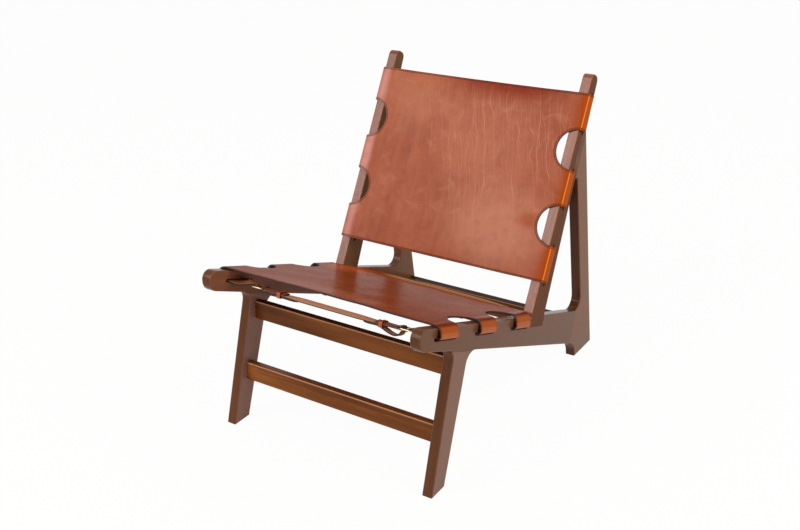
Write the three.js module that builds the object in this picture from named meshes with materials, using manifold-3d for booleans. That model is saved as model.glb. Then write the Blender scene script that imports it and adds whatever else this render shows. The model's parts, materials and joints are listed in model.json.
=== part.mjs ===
// A low lounge chair: two flat side frames of dark timber, three crossbars, and a seat and a
// back of saddle leather laced through slots in the frames and drawn tight by buckled straps.
// Millimetres and degrees. X runs across the chair, Y towards its back, Z up.
import * as THREE from 'three';
import { mergeVertices } from 'three/addons/utils/BufferGeometryUtils.js';
import Module from 'manifold-3d';

const wasm = await Module();
wasm.setup();

// Side frames
const frameWidth = 580;
const frameDepth = 828;
const frameHeight = 738;
const boardThickness = 26;
const boardEdgeRound = 2.5;
const seamGap = 0.3;

// Seat rail
const railTopAtNose = 417;
const railTopAtHeel = 94.2;
const railDepthAtNose = 50;
const railUnderAtFoot = 37.8;
const noseRoundTop = 20;
const noseRoundUnder = 25;

// Front leg
const legSetback = 26;
const legFootLength = 50;
const legFrontLean = 18.3;
const legRearLean = 21;
const legFilletFront = 26;
const legFilletRear = 30;
const legSeamDrop = 2;

// Back upright
const uprightToHeel = 349;
const uprightFrontLean = 30;
const uprightRearLean = 26.6;
const uprightDepthAtRail = 78;
const uprightTopRound = 14;
const uprightHousing = 26;

// Rear leg
const footLength = 99;
const footFillet = 54;
const rearLegLean = 7.6;
const rearLegWidth = 53;
const rearLegSeamSetback = 36;
const openingFrontRound = 4;
const openingRearRound = 27;
const openingApexRound = 9;

// Tenons that join the boards of a side frame
const tenonThickness = 10;
const legTenonLength = 18;
const legTenonWidth = 34;
const rearTenonLength = 24;
const rearTenonWidth = 30;
const rearTenonDepth = 35;
const braceTenonLength = 15;
const braceTenonWidth = 36;

// Crossbars
const barThickness = 20;
const barTall = 45;
const barLean = 5;
const barEdgeRound = 3.2;
const barEndRound = 1.5;
const barTenonThickness = 12;
const barTenonShoulder = 8;
const barTenonLength = 18;
const upperBarHeight = 260.5;
const stretcherHeight = 119.5;
const rearBarTall = 57;
const rearBarHeight = 43.5;
const rearBarInset = 11;

// Leather slings
const slingThickness = 3.5;
const cutoutRadius = 48.5;
const cutoutOverhang = 4;
const slotMargin = 8;
const slotHeight = 8;
const slotClearance = 0.9;
const slotBendRadius = 4;
const flapFlare = 14;
const seatSlingSetback = 70;
const seatSlingRearGap = 22;
const seatSlotDepth = 19.5;
const seatBendRadius = 13;
const seatStandOff = 5;
const seatLiftFront = 2;
const seatLiftRear = 7.5;
const seatBow = 2;
const backSlingRise = 83;
const backSlingTopGap = 51;
const backSlotDepth = 18.5;
const backBendRadius = 7;
const backStandOff = 2.5;
const backLiftLower = 1;
const backLiftUpper = 1;
const backBow = -4;
const billetWidth = 18;
const billetTaper = 34;
const billetTipWidth = 7;
const billetTipLength = 14;
const billetHoleWidth = 4.4;
const billetHoleLength = 17;

// Straps, buckles and keepers
const strapThickness = 2.8;
const strapWidth = 20;
const strapFoldLength = 66;
const strapFoldRise = 14;
const buckleReach = 50;
const buckleLength = 26;
const buckleSidePlay = 3.2;
const buckleBar = 3.2;
const buckleEdgeRound = 1;
const buckleCornerRound = 6;
const tongueWidth = 3.2;
const tongueThickness = 2.4;
const tongueRing = 1.4;
const tongueOverhang = 2.4;
const keeperSetback = 50;
const keeperBand = 10;
const keeperThickness = 1.8;
const keeperPlay = 0.4;
const tailLength = 100;
const crossingSlope = 30;
const crossingRadius = 9;

// How finely rounds and bends are stepped, in degrees and in steps
const fineArcAngle = 15;
const plainArcAngle = 30;
const smallArcAngle = 45;
const cutoutSteps = 8;
const taperSteps = 6;
const panelSteps = 10;
const tabBendSteps = 5;
const crossingSteps = 3;
const strapFoldSteps = 6;
const strapCurveSteps = 2;
const tongueRingSteps = 10;
const stationSpacing = 0.6;

// How far cutting shapes run past what they cut
const regionSpare = 60;
const cutSpare = 10;
const edgeSpare = 1;

const halfWidth = frameWidth / 2;
const innerHalfWidth = halfWidth - boardThickness;
const rad = THREE.MathUtils.degToRad;
const vec = (a, b) => new THREE.Vector2(a, b);

const timber = (colour) => new THREE.MeshStandardMaterial({ color: colour, roughness: 0.45, metalness: 0 });
const hide = (colour) => new THREE.MeshStandardMaterial({ color: colour, roughness: 0.5, metalness: 0 });
const materials = {
  rail: timber(0x5a3a26),
  leg: timber(0x613f2a),
  upright: timber(0x583824),
  bar: timber(0x5c3a20),
  sling: hide(0xa85c3e),
  strap: hide(0xa8653f),
  keeper: hide(0x8f4a26),
  brass: new THREE.MeshStandardMaterial({ color: 0xd8bd78, roughness: 0.3, metalness: 1 }),
};

// Lines in the side plane, y and z
const leaning = (point, lean) => ({ p: point, d: vec(Math.sin(rad(lean)), Math.cos(rad(lean))) });
const sloping = (point, slope) => ({ p: point, d: vec(Math.cos(rad(slope)), -Math.sin(rad(slope))) });
const slopeOver = (drop, run) => THREE.MathUtils.radToDeg(Math.atan2(drop, run));
const along = (line, distance) => line.p.clone().addScaledVector(line.d, distance);
const leftOf = (line) => vec(-line.d.y, line.d.x);
const moved = (line, distance) => ({ p: line.p.clone().addScaledVector(leftOf(line), distance), d: line.d });
function meet(a, b) {
  const across = a.d.cross(b.d);
  const reach = b.p.clone().sub(a.p).cross(b.d) / across;
  return along(a, reach);
}
const atHeight = (line, z) => along(line, (z - line.p.y) / line.d.y);

// Outline through corners, each rounded by its own radius
function roundedOutline(corners, arcStep = fineArcAngle) {
  const points = [];
  corners.forEach(([corner, radius], i) => {
    const before = corners[(i + corners.length - 1) % corners.length][0].clone().sub(corner).normalize();
    const after = corners[(i + 1) % corners.length][0].clone().sub(corner).normalize();
    const half = Math.acos(THREE.MathUtils.clamp(before.dot(after), -1, 1)) / 2;
    if (radius === 0) {
      points.push(corner.clone());
      return;
    }
    const centre = before.clone().add(after).normalize().multiplyScalar(radius / Math.sin(half)).add(corner);
    const start = before.clone().multiplyScalar(radius / Math.tan(half)).add(corner).sub(centre);
    const sweep = (Math.PI - 2 * half) * Math.sign(after.cross(before));
    const steps = Math.max(2, Math.ceil(Math.abs(sweep) / rad(arcStep)));
    for (let k = 0; k <= steps; k += 1) {
      points.push(start.clone().rotateAround(vec(0, 0), (sweep * k) / steps).add(centre));
    }
  });
  return points;
}

function roundedRectangle(width, height, radius, arcStep) {
  const [w, h] = [width / 2, height / 2];
  return roundedOutline([vec(-w, -h), vec(w, -h), vec(w, h), vec(-w, h)].map((p) => [p, radius]), arcStep);
}

// Solids to and from booleans
function solidOf(geometry) {
  const bare = geometry.clone();
  bare.deleteAttribute('normal');
  bare.deleteAttribute('uv');
  const merged = mergeVertices(bare, 1e-4);
  return new wasm.Manifold(new wasm.Mesh({
    numProp: 3,
    vertProperties: merged.attributes.position.array,
    triVerts: new Uint32Array(merged.index.array),
  }));
}

function geometryOf(solid) {
  const mesh = solid.getMesh();
  const geometry = new THREE.BufferGeometry();
  geometry.setAttribute('position', new THREE.BufferAttribute(new Float32Array(mesh.vertProperties), 3));
  geometry.setIndex(new THREE.BufferAttribute(new Uint32Array(mesh.triVerts), 1));
  const flat = geometry.toNonIndexed();
  flat.computeVertexNormals();
  return flat;
}

// A side plane outline (y, z) made thick across the chair, from x = low to x = high
const sideBasis = new THREE.Matrix4().makeBasis(
  new THREE.Vector3(0, 1, 0), new THREE.Vector3(0, 0, 1), new THREE.Vector3(1, 0, 0));
function sidePrism(points, low, high, round = 0, holes = []) {
  const shape = new THREE.Shape(points);
  shape.holes = holes.map((hole) => new THREE.Path(hole));
  const geometry = new THREE.ExtrudeGeometry(shape, {
    depth: high - low - 2 * round,
    bevelEnabled: round > 0,
    bevelThickness: round,
    bevelSize: round,
    bevelOffset: -round,
    bevelSegments: 2,
    steps: 1,
  });
  return geometry.translate(0, 0, low + round).applyMatrix4(sideBasis);
}

// Side frame lines
const noseY = -frameDepth / 2;
const heelY = frameDepth / 2;
const floorLine = sloping(vec(0, 0), 0);
const railSlope = slopeOver(railTopAtNose - railTopAtHeel, frameDepth);
const railUnderAtNose = railTopAtNose - railDepthAtNose;
const railUnderSlope = slopeOver(railUnderAtNose - railUnderAtFoot, frameDepth - footLength);
const railTop = sloping(vec(noseY, railTopAtNose), railSlope);
const railUnder = sloping(vec(noseY, railUnderAtNose), railUnderSlope);
const noseLine = leaning(vec(noseY, railUnderAtNose), 0);
const legFront = leaning(vec(noseY + legSetback, 0), legFrontLean);
const legRear = leaning(vec(noseY + legSetback + legFootLength, 0), legRearLean);
const uprightFoot = meet(railTop, leaning(vec(heelY - uprightToHeel, 0), 0));
const uprightFront = leaning(uprightFoot, uprightFrontLean);
const uprightRear = leaning(vec(uprightFoot.x + uprightDepthAtRail, uprightFoot.y), uprightRearLean);
const rearLegRear = leaning(vec(heelY, 0), -rearLegLean);
const rearLegFront = moved(rearLegRear, rearLegWidth);
const footFront = leaning(vec(heelY - footLength, 0), 0);
const topLean = rad(uprightFrontLean);
const topCornerRise = uprightTopRound * (Math.cos(topLean) + Math.sin(topLean) - 1);
const uprightTop = sloping(atHeight(uprightFront, frameHeight + topCornerRise), uprightFrontLean);
const openingFront = meet(railTop, uprightRear);
const openingRear = meet(railTop, rearLegFront);
const openingApex = meet(rearLegFront, uprightRear);
const openingMiddle = openingFront.clone().add(openingRear).add(openingApex).divideScalar(3);
const braceTop = meet(rearLegRear, uprightRear);

// Frames of reference of the two slings: across, along the board, and out from the board's edge
const seatFrame = new THREE.Group();
const seatFront = along(railTop, seatSlingSetback);
seatFrame.position.set(0, seatFront.x, seatFront.y);
seatFrame.rotation.x = -rad(railSlope);
const backFrame = new THREE.Group();
const backBottom = along(uprightFront, backSlingRise);
backFrame.position.set(0, backBottom.x, backBottom.y);
backFrame.rotation.x = rad(90 - uprightFrontLean);
[seatFrame, backFrame].forEach((frame) => frame.updateMatrix());

// The tabs share what the cut-outs leave of a sling's length
const seatSlingLength = uprightFoot.distanceTo(seatFront) - seatSlingRearGap;
const backSlingLength = meet(uprightTop, uprightFront).distanceTo(backBottom) - backSlingTopGap;
const seatTabWidth = (seatSlingLength - 4 * cutoutRadius) / 3;
const backTabWidth = (backSlingLength - 4 * cutoutRadius) / 3;

const seat = {
  frame: seatFrame,
  name: 'seat',
  strapNames: ['front', 'middle', 'rear'],
  tabWidth: seatTabWidth,
  slotDepth: seatSlotDepth,
  bendRadius: seatBendRadius,
  standOff: seatStandOff,
  lift: [seatLiftFront, seatLiftRear],
  bow: seatBow,
};
const back = {
  frame: backFrame,
  name: 'back',
  strapNames: ['lower', 'middle', 'upper'],
  tabWidth: backTabWidth,
  slotDepth: backSlotDepth,
  bendRadius: backBendRadius,
  standOff: backStandOff,
  lift: [backLiftLower, backLiftUpper],
  bow: backBow,
};

// Where a sling's tabs and cut-outs lie along its board
const pitch = (sling) => sling.tabWidth + 2 * cutoutRadius;
const tabCentre = (sling, k) => sling.tabWidth / 2 + k * pitch(sling);
const slingLength = (sling) => 3 * sling.tabWidth + 4 * cutoutRadius;

// A section (x, n) made long along a sling's board, from v = low to v = high
const sectionBasis = new THREE.Matrix4().makeBasis(
  new THREE.Vector3(1, 0, 0), new THREE.Vector3(0, 0, 1), new THREE.Vector3(0, -1, 0));
function sectionPrism(points, low, high, holes = []) {
  const shape = new THREE.Shape(points);
  shape.holes = holes.map((hole) => new THREE.Path(hole));
  const geometry = new THREE.ExtrudeGeometry(shape, { depth: high - low, bevelEnabled: false, steps: 1 });
  return geometry.translate(0, 0, -high).applyMatrix4(sectionBasis);
}

// A slot through a board for one tab
const cutAcross = boardThickness + 2 * cutSpare;
function tabSlot(sling, k, side) {
  const length = sling.tabWidth + 2 * slotMargin;
  const outline = roundedRectangle(length, slotHeight, slotHeight / 2, smallArcAngle);
  const shape = new THREE.Shape(outline);
  const middle = -sling.slotDepth - slotHeight / 2;
  const slot = new THREE.ExtrudeGeometry(shape, { depth: cutAcross, bevelEnabled: false, steps: 1 });
  slot.translate(0, 0, side * (halfWidth - boardThickness / 2) - cutAcross / 2);
  return slot.applyMatrix4(sideBasis).translate(0, tabCentre(sling, k), middle).applyMatrix4(sling.frame.matrix);
}

// A tenon in the side plane: from a point on a seam, along a direction, let into the next board
function tenon(point, direction, width, length, side, play) {
  const across = vec(-direction.y, direction.x).multiplyScalar(width / 2 + play);
  const root = point.clone().addScaledVector(direction, -length);
  const tip = point.clone().addScaledVector(direction, length + play);
  const outline = [root.clone().sub(across), tip.clone().sub(across), tip.clone().add(across),
    root.clone().add(across)];
  const middle = side * (halfWidth - boardThickness / 2);
  const reach = tenonThickness / 2 + play;
  const turned = THREE.ShapeUtils.isClockWise(outline) ? outline.reverse() : outline;
  return solidOf(sidePrism(turned, middle - reach, middle + reach));
}

const between = (a, b) => a.clone().lerp(b, 0.5);

// Regions of the side plane that belong to one board, grown by play where they meet another
function legRegion(play) {
  const seam = moved(railUnder, -legSeamDrop + play);
  const rearLimit = between(meet(legRear, floorLine), meet(footFront, floorLine)).x;
  const front = meet(seam, leaning(vec(noseY - regionSpare, 0), 0));
  const rear = meet(seam, leaning(vec(rearLimit, 0), 0));
  return [vec(front.x, -regionSpare), vec(rear.x, -regionSpare), rear, front];
}

const rearSeamTop = along(railTop, railTop.p.distanceTo(openingRear) - rearLegSeamSetback);
const rearSeam = leaning(rearSeamTop, railSlope);
function rearLegRegion(play) {
  const seam = moved(rearSeam, play);
  const front = moved(uprightRear, -seamGap + play);
  const top = frameHeight + regionSpare;
  const behind = heelY + regionSpare;
  return [atHeight(seam, -regionSpare), vec(behind, -regionSpare), vec(behind, top), atHeight(front, top),
    atHeight(front, openingMiddle.y), openingMiddle, along(seam, cutSpare)];
}

function uprightRegion(play) {
  const front = moved(uprightFront, play);
  const rear = moved(uprightRear, -play);
  const bottom = moved(railTop, -uprightHousing - play);
  const outFront = moved(uprightFront, cutSpare);
  const outRear = moved(uprightRear, -cutSpare);
  const top = frameHeight + regionSpare;
  return [meet(bottom, front), meet(bottom, rear), meet(rear, moved(rearLegRear, -play)),
    atHeight(outRear, top), atHeight(outFront, top), meet(moved(railTop, cutSpare), outFront),
    meet(moved(railTop, edgeSpare), front)];
}

// Crossbars: a bar with rounded edges and a stub tenon at each end
const barPlaces = {
  front_upper_bar: { height: upperBarHeight, tall: barTall, lean: barLean, board: 'front_leg' },
  front_stretcher: { height: stretcherHeight, tall: barTall, lean: barLean, board: 'front_leg' },
  rear_bar: { height: rearBarHeight, tall: rearBarTall, lean: -rearLegLean, board: 'rear_leg' },
};
function barCentre({ height, board }) {
  if (board === 'rear_leg') {
    const face = moved(rearLegRear, rearBarInset + barThickness / 2);
    return atHeight(face, height);
  }
  return between(atHeight(legFront, height), atHeight(legRear, height));
}

function barSection(place, width, height, round) {
  const centre = barCentre(place);
  return roundedRectangle(width, height, round, plainArcAngle)
    .map((p) => p.rotateAround(vec(0, 0), -rad(place.lean)).add(centre));
}

function crossbar(place) {
  const shoulder = innerHalfWidth - seamGap;
  const reach = innerHalfWidth + barTenonLength;
  const section = barSection(place, barThickness, place.tall, barEdgeRound);
  const body = solidOf(sidePrism(section, -shoulder, shoulder, barEndRound));
  const core = barSection(place, barTenonThickness, place.tall - 2 * barTenonShoulder, 0);
  return body.add(solidOf(sidePrism(core, -reach, reach)));
}

function barMortise(place, side) {
  const tall = place.tall - 2 * barTenonShoulder + 2 * seamGap;
  const hole = barSection(place, barTenonThickness + 2 * seamGap, tall, 0);
  const mouth = innerHalfWidth - cutSpare;
  const end = innerHalfWidth + barTenonLength + seamGap;
  return solidOf(side > 0 ? sidePrism(hole, mouth, end) : sidePrism(hole, -end, -mouth));
}

// One side frame: the whole outline, cut along its seams into four boards
function sideFrame(side) {
  const low = side > 0 ? innerHalfWidth : -halfWidth;
  const outline = roundedOutline([
    [meet(legFront, floorLine), 0],
    [meet(legRear, floorLine), 0],
    [meet(legRear, railUnder), legFilletRear],
    [meet(railUnder, footFront), footFillet],
    [meet(footFront, floorLine), 0],
    [meet(rearLegRear, floorLine), 0],
    [braceTop, 0],
    [meet(uprightRear, uprightTop), uprightTopRound],
    [meet(uprightTop, uprightFront), uprightTopRound],
    [uprightFoot, 0],
    [meet(railTop, noseLine), noseRoundTop],
    [meet(noseLine, railUnder), noseRoundUnder],
    [meet(railUnder, legFront), legFilletFront],
  ]);
  const opening = roundedOutline([
    [openingFront, openingFrontRound],
    [openingRear, openingRearRound],
    [openingApex, openingApexRound],
  ]);
  const whole = solidOf(sidePrism(outline, low, low + boardThickness, boardEdgeRound, [opening]));
  const region = (points) => solidOf(sidePrism(points, low - cutSpare, low + boardThickness + cutSpare));
  const slots = (sling) => [0, 1, 2].map((k) => solidOf(tabSlot(sling, k, side)));
  const cutAll = (solid, tools) => tools.reduce((left, tool) => left.subtract(tool), solid);

  const legSeam = moved(railUnder, -legSeamDrop);
  const legJoint = between(meet(legSeam, legFront), meet(legSeam, legRear));
  const rearJoint = along(rearSeam, -rearTenonDepth);
  const braceJoint = between(openingApex, braceTop);
  const joints = {
    leg: [legJoint, leftOf(railUnder), legTenonWidth, legTenonLength],
    rear: [rearJoint, railTop.d, rearTenonWidth, rearTenonLength],
    brace: [braceJoint, leftOf(uprightRear), braceTenonWidth, braceTenonLength],
  };
  const peg = (joint) => tenon(...joint, side, 0);
  const socket = (joint) => tenon(...joint, side, seamGap);
  const mortises = (board) => Object.values(barPlaces)
    .filter((place) => place.board === board)
    .map((place) => barMortise(place, side));

  const leg = cutAll(whole.intersect(region(legRegion(0))).add(peg(joints.leg)), mortises('front_leg'));
  const rearLeg = cutAll(whole.intersect(region(rearLegRegion(0))).add(peg(joints.brace)),
    [socket(joints.rear), ...mortises('rear_leg')]);
  const upright = cutAll(whole.intersect(region(uprightRegion(0))), [socket(joints.brace), ...slots(back)]);
  const rail = cutAll(
    cutAll(whole, [region(legRegion(seamGap)), region(rearLegRegion(seamGap)), region(uprightRegion(seamGap))])
      .add(peg(joints.rear)),
    [socket(joints.leg), ...slots(seat)]);
  return { front_leg: leg, seat_rail: rail, back_upright: upright, rear_leg: rearLeg };
}

// A path in a sling's section (x, n): straights and bends laid end to end
class Path {
  constructor(x, n, heading) {
    this.parts = [];
    this.end = { at: vec(x, n), heading, s: 0 };
  }

  lay(length, turn, steps) {
    const part = { ...this.end, length, turn, steps };
    this.parts.push(part);
    this.end = { ...this.on(part, length), s: part.s + length };
    return this;
  }

  straight(length, steps = 1) {
    return this.lay(length, 0, steps);
  }

  // Bend to the right by an angle, or to the left if it is negative
  bend(angle, radius, steps) {
    return this.lay(rad(Math.abs(angle)) * radius, -rad(angle), steps);
  }

  on(part, run) {
    const heading = part.heading + (part.turn * run) / part.length;
    if (part.turn === 0) {
      return { at: vec(Math.cos(heading), Math.sin(heading)).multiplyScalar(run).add(part.at), heading };
    }
    const radius = part.length / part.turn;
    const step = vec(Math.sin(heading) - Math.sin(part.heading), Math.cos(part.heading) - Math.cos(heading));
    return { at: step.multiplyScalar(radius).add(part.at), heading };
  }

  point(s) {
    const part = this.parts.findLast((p) => p.s <= s + 1e-6) ?? this.parts[0];
    const { at, heading } = this.on(part, s - part.s);
    return { at, out: vec(-Math.sin(heading), Math.cos(heading)) };
  }

  stations() {
    const cuts = this.parts.flatMap((p) => Array.from({ length: p.steps }, (_, k) => p.s + (p.length * k) / p.steps));
    return [...cuts, this.end.s];
  }
}

// Closes a sheet of triangles into a solid: each point has an inner and an outer place
function sheetSolid(points, triangles) {
  const count = points.length;
  const positions = points.flatMap((p) => p.outer).concat(points.flatMap((p) => p.inner));
  const edges = new Set(triangles.flatMap(([a, b, c]) => [`${a} ${b}`, `${b} ${c}`, `${c} ${a}`]));
  const index = triangles.flatMap(([a, b, c]) => [a, b, c, a + count, c + count, b + count]);
  edges.forEach((edge) => {
    const [a, b] = edge.split(' ').map(Number);
    if (!edges.has(`${b} ${a}`)) {
      index.push(b, a, a + count, b, a + count, b + count);
    }
  });
  const geometry = new THREE.BufferGeometry();
  geometry.setAttribute('position', new THREE.Float32BufferAttribute(positions, 3));
  geometry.setIndex(index);
  return geometry;
}

const quad = (a, b, c, d) => [[a, b, c], [a, c, d]];

// The buckle's middle plane, below the billet that comes out of the slot
const slotLevel = (sling) => -sling.slotDepth - slotClearance;
const buckleLevel = (sling) => slotLevel(sling) - slingThickness - seamGap - buckleBar / 2;
const barRing = Math.hypot(buckleBar / 2, buckleBar / 2 - buckleEdgeRound) + seamGap;
const frontBarX = innerHalfWidth - buckleReach;
const heelBarX = frontBarX - buckleLength;
const crossingDrop = buckleBar / 2 + seamGap + slingThickness + barRing + strapThickness + seamGap;

// A tab's way from the middle of the sling: over the board's edge, in through the slot, through
// the buckle from behind the front bar to outside the heel bar, and along the strap
function tabPath(sling) {
  const r = sling.bendRadius + seamGap;
  const flare = rad(flapFlare);
  const flap = (seamGap - r * (1 - Math.sin(flare)) - slotBendRadius * (1 + Math.sin(flare)) - slotLevel(sling))
    / Math.cos(flare);
  const path = new Path(0, seamGap, 0);
  path.straight(halfWidth + sling.standOff - sling.bendRadius);
  path.bend(90 - flapFlare, r, tabBendSteps);
  path.straight(flap);
  path.bend(90 + flapFlare, slotBendRadius, tabBendSteps);
  path.slotEnd = path.end.s + boardThickness;
  path.straight(path.end.at.x - frontBarX + buckleBar / 2 + seamGap);
  path.bend(-crossingSlope, crossingRadius, crossingSteps);
  const curves = 2 * crossingRadius * (1 - Math.cos(rad(crossingSlope)));
  const slant = (crossingDrop - curves) / Math.sin(rad(crossingSlope));
  path.crossingMiddle = path.end.s + slant / 2;
  path.straight(slant);
  path.bend(crossingSlope, crossingRadius, crossingSteps);
  path.straight(path.end.at.x - heelBarX + tailLength);
  return path;
}

// Half the width of a tab at a place along its path: full to the slot, then a billet with a tip
function tabHalfWidth(sling, path, s) {
  const narrowing = THREE.MathUtils.smoothstep(s, path.slotEnd, path.slotEnd + billetTaper);
  const width = THREE.MathUtils.lerp(sling.tabWidth, billetWidth, narrowing);
  const tip = THREE.MathUtils.clamp((s - path.end.s + billetTipLength) / billetTipLength, 0, 1);
  return THREE.MathUtils.lerp(width, Math.min(width, billetTipWidth), tip * tip) / 2;
}

// A sling: a panel bowed between its boards, with cut-outs at its sides and six tabs that stand
// off the boards by the sling's lift
function slingSolid(sling) {
  const path = tabPath(sling);
  const cutoutCentre = halfWidth + cutoutOverhang;
  const cutoutStart = cutoutCentre - cutoutRadius;
  const length = slingLength(sling);
  const arc = Array.from({ length: cutoutSteps + 1 }, (_, k) => cutoutCentre
    - cutoutRadius * Math.cos((Math.PI / 2) * (k / cutoutSteps)));
  const taper = Array.from({ length: taperSteps + 1 }, (_, k) => path.slotEnd + (billetTaper * k) / taperSteps);
  const tip = [1, 0.5, 0.2].map((share) => path.end.s - billetTipLength * share);
  const all = [...arc, ...path.stations().filter((s) => s > cutoutStart), ...taper, ...tip].sort((a, b) => a - b);
  const stations = all.filter((s, i) => i === 0 || s - all[i - 1] > stationSpacing);

  const points = [];
  const place = (s, v, bow = 0) => {
    const { at, out } = path.point(Math.abs(s));
    const height = THREE.MathUtils.clamp(1 - (seamGap - at.y) / (seamGap - slotLevel(sling)), 0, 1);
    const rise = bow + height * THREE.MathUtils.lerp(...sling.lift, v / length);
    const x = (d) => Math.sign(s) * (at.x + out.x * d);
    const n = (d) => at.y + out.y * d + rise;
    points.push({ inner: [x(0), v, n(0)], outer: [x(slingThickness), v, n(slingThickness)] });
    return points.length - 1;
  };
  const cutoutHalf = (s) => {
    const reach = THREE.MathUtils.clamp(cutoutCentre - s, 0, cutoutRadius);
    return Math.sqrt(cutoutRadius ** 2 - reach ** 2);
  };
  const bounds = (k, s) => {
    if (s >= cutoutCentre) {
      const half = tabHalfWidth(sling, path, s);
      return [tabCentre(sling, k) - half, tabCentre(sling, k) + half];
    }
    const gap = cutoutHalf(s);
    const low = k === 0 ? 0 : k * pitch(sling) - cutoutRadius + gap;
    const high = k === 2 ? length : (k + 1) * pitch(sling) - cutoutRadius - gap;
    return [low, high];
  };

  const triangles = [];
  const join = (rowA, rowB) => {
    for (let j = 0; j + 1 < rowA.length; j += 1) {
      triangles.push(...quad(rowA[j], rowB[j], rowB[j + 1], rowA[j + 1]));
    }
  };
  const columns = [0, pitch(sling) - cutoutRadius, 2 * pitch(sling) - cutoutRadius, length];
  const panel = Array.from({ length: panelSteps + 1 }, (_, i) => {
    const share = (2 * i) / panelSteps - 1;
    return columns.map((v) => place(share * cutoutStart, v, sling.bow * (1 - share * share) ** 2));
  });
  panel.slice(1).forEach((row, i) => join(panel[i], row));
  [0, 1, 2].forEach((k) => {
    [-1, 1].forEach((side) => {
      const edge = (side > 0 ? panel[panelSteps] : panel[0]).slice(k, k + 2);
      const rows = [edge, ...stations.slice(1).map((s) => bounds(k, s).map((v) => place(side * s, v)))];
      rows.slice(1).forEach((row, i) => (side > 0 ? join(rows[i], row) : join(row, rows[i])));
    });
  });
  return [-1, 1].reduce((solid, side) => [0, 1, 2].reduce(
    (left, k) => left.subtract(solidOf(billetHole(sling, k, side))), solid), solidOf(sheetSolid(points, triangles)));
}

// The oblong hole in a billet that the buckle's tongue comes through
function billetHole(sling, k, side) {
  const path = tabPath(sling);
  const { at } = path.point(path.crossingMiddle);
  const hole = sectionPrism(roundedRectangle(billetHoleLength, 4 * slingThickness, 0),
    -billetHoleWidth / 2, billetHoleWidth / 2);
  hole.rotateY(-rad(crossingSlope)).translate(at.x, 0, at.y);
  return hole.rotateZ(side > 0 ? 0 : Math.PI).translate(0, tabCentre(sling, k), 0);
}

// A strap between two buckles: both ends fold back round the heel bars
function strapSolid(sling) {
  const level = buckleLevel(sling);
  const foldLevel = level - barRing + seamGap;
  const rise = level + barRing - foldLevel;
  const slope = Math.atan2(rise, strapFoldRise);
  const curve = strapFoldRise / 2 / Math.sin(2 * slope);
  const turn = THREE.MathUtils.radToDeg(2 * slope);
  const lap = strapFoldLength - strapFoldRise - barRing;
  const path = new Path(heelBarX - strapFoldLength, foldLevel, 0);
  path.straight(lap);
  path.bend(-turn, curve, strapCurveSteps).bend(turn, curve, strapCurveSteps);
  path.straight(barRing);
  path.bend(180, barRing, strapFoldSteps);
  path.straight(2 * heelBarX);
  path.bend(180, barRing, strapFoldSteps);
  path.straight(barRing);
  path.bend(turn, curve, strapCurveSteps).bend(-turn, curve, strapCurveSteps);
  path.straight(lap);
  const points = [];
  const rows = path.stations().map((s) => {
    const { at, out } = path.point(s);
    return [-1, 1].map((end) => {
      const v = (end * strapWidth) / 2;
      const outer = at.clone().addScaledVector(out, strapThickness);
      points.push({ inner: [at.x, v, at.y], outer: [outer.x, v, outer.y] });
      return points.length - 1;
    });
  });
  const triangles = rows.slice(1).flatMap((row, i) => quad(rows[i][0], row[0], row[1], rows[i][1]));
  const mouth = barRing + strapThickness + edgeSpare;
  const slot = roundedRectangle(2 * mouth, 2 * mouth, 0);
  return [-1, 1].reduce((left, side) => left.subtract(solidOf(
    sectionPrism(slot, -billetHoleWidth / 2, billetHoleWidth / 2).translate(side * heelBarX, 0, level))),
  solidOf(sheetSolid(points, triangles)));
}

// A cast buckle frame; its inner long side is the heel bar
function buckleGeometry(sling) {
  const length = buckleLength + buckleBar;
  const mouth = strapWidth + 2 * buckleSidePlay;
  const shape = new THREE.Shape(roundedRectangle(length, mouth + 2 * buckleBar, buckleCornerRound, plainArcAngle));
  const inside = roundedRectangle(length - 2 * buckleBar, mouth, buckleCornerRound - buckleBar, smallArcAngle);
  shape.holes = [new THREE.Path(inside)];
  const frame = new THREE.ExtrudeGeometry(shape, {
    depth: buckleBar - 2 * buckleEdgeRound,
    bevelThickness: buckleEdgeRound,
    bevelSize: buckleEdgeRound,
    bevelOffset: -buckleEdgeRound,
    bevelSegments: 1,
    steps: 1,
  });
  return frame.translate((frontBarX + heelBarX) / 2, 0, buckleLevel(sling) - buckleBar / 2 + buckleEdgeRound);
}

// A tongue: a ring round the heel bar and a pin that lies on the outside of the front bar
function tongueGeometry(sling) {
  const rest = -(buckleBar / 2 + seamGap + tongueThickness / 2);
  const length = Math.hypot(buckleLength, rest) + tongueOverhang;
  const lean = Math.atan2(rest, buckleLength);
  const ringRadius = barRing + tongueRing;
  const half = tongueThickness / 2;
  const mouth = Math.asin(half / ringRadius);
  const outline = [vec(length - half, -half), vec(length, -half / 2), vec(length, half / 2), vec(length - half, half)];
  for (let k = 0; k <= tongueRingSteps; k += 1) {
    const turn = mouth + ((2 * Math.PI - 2 * mouth) * k) / tongueRingSteps;
    outline.push(vec(ringRadius * Math.cos(turn), ringRadius * Math.sin(turn)));
  }
  const bore = Array.from({ length: tongueRingSteps }, (_, k) => {
    const turn = (2 * Math.PI * k) / tongueRingSteps;
    return vec(barRing * Math.cos(turn), barRing * Math.sin(turn));
  });
  const tongue = sectionPrism(outline, -tongueWidth / 2, tongueWidth / 2, [bore]);
  return tongue.rotateY(-lean).translate(heelBarX, 0, buckleLevel(sling));
}

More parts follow.
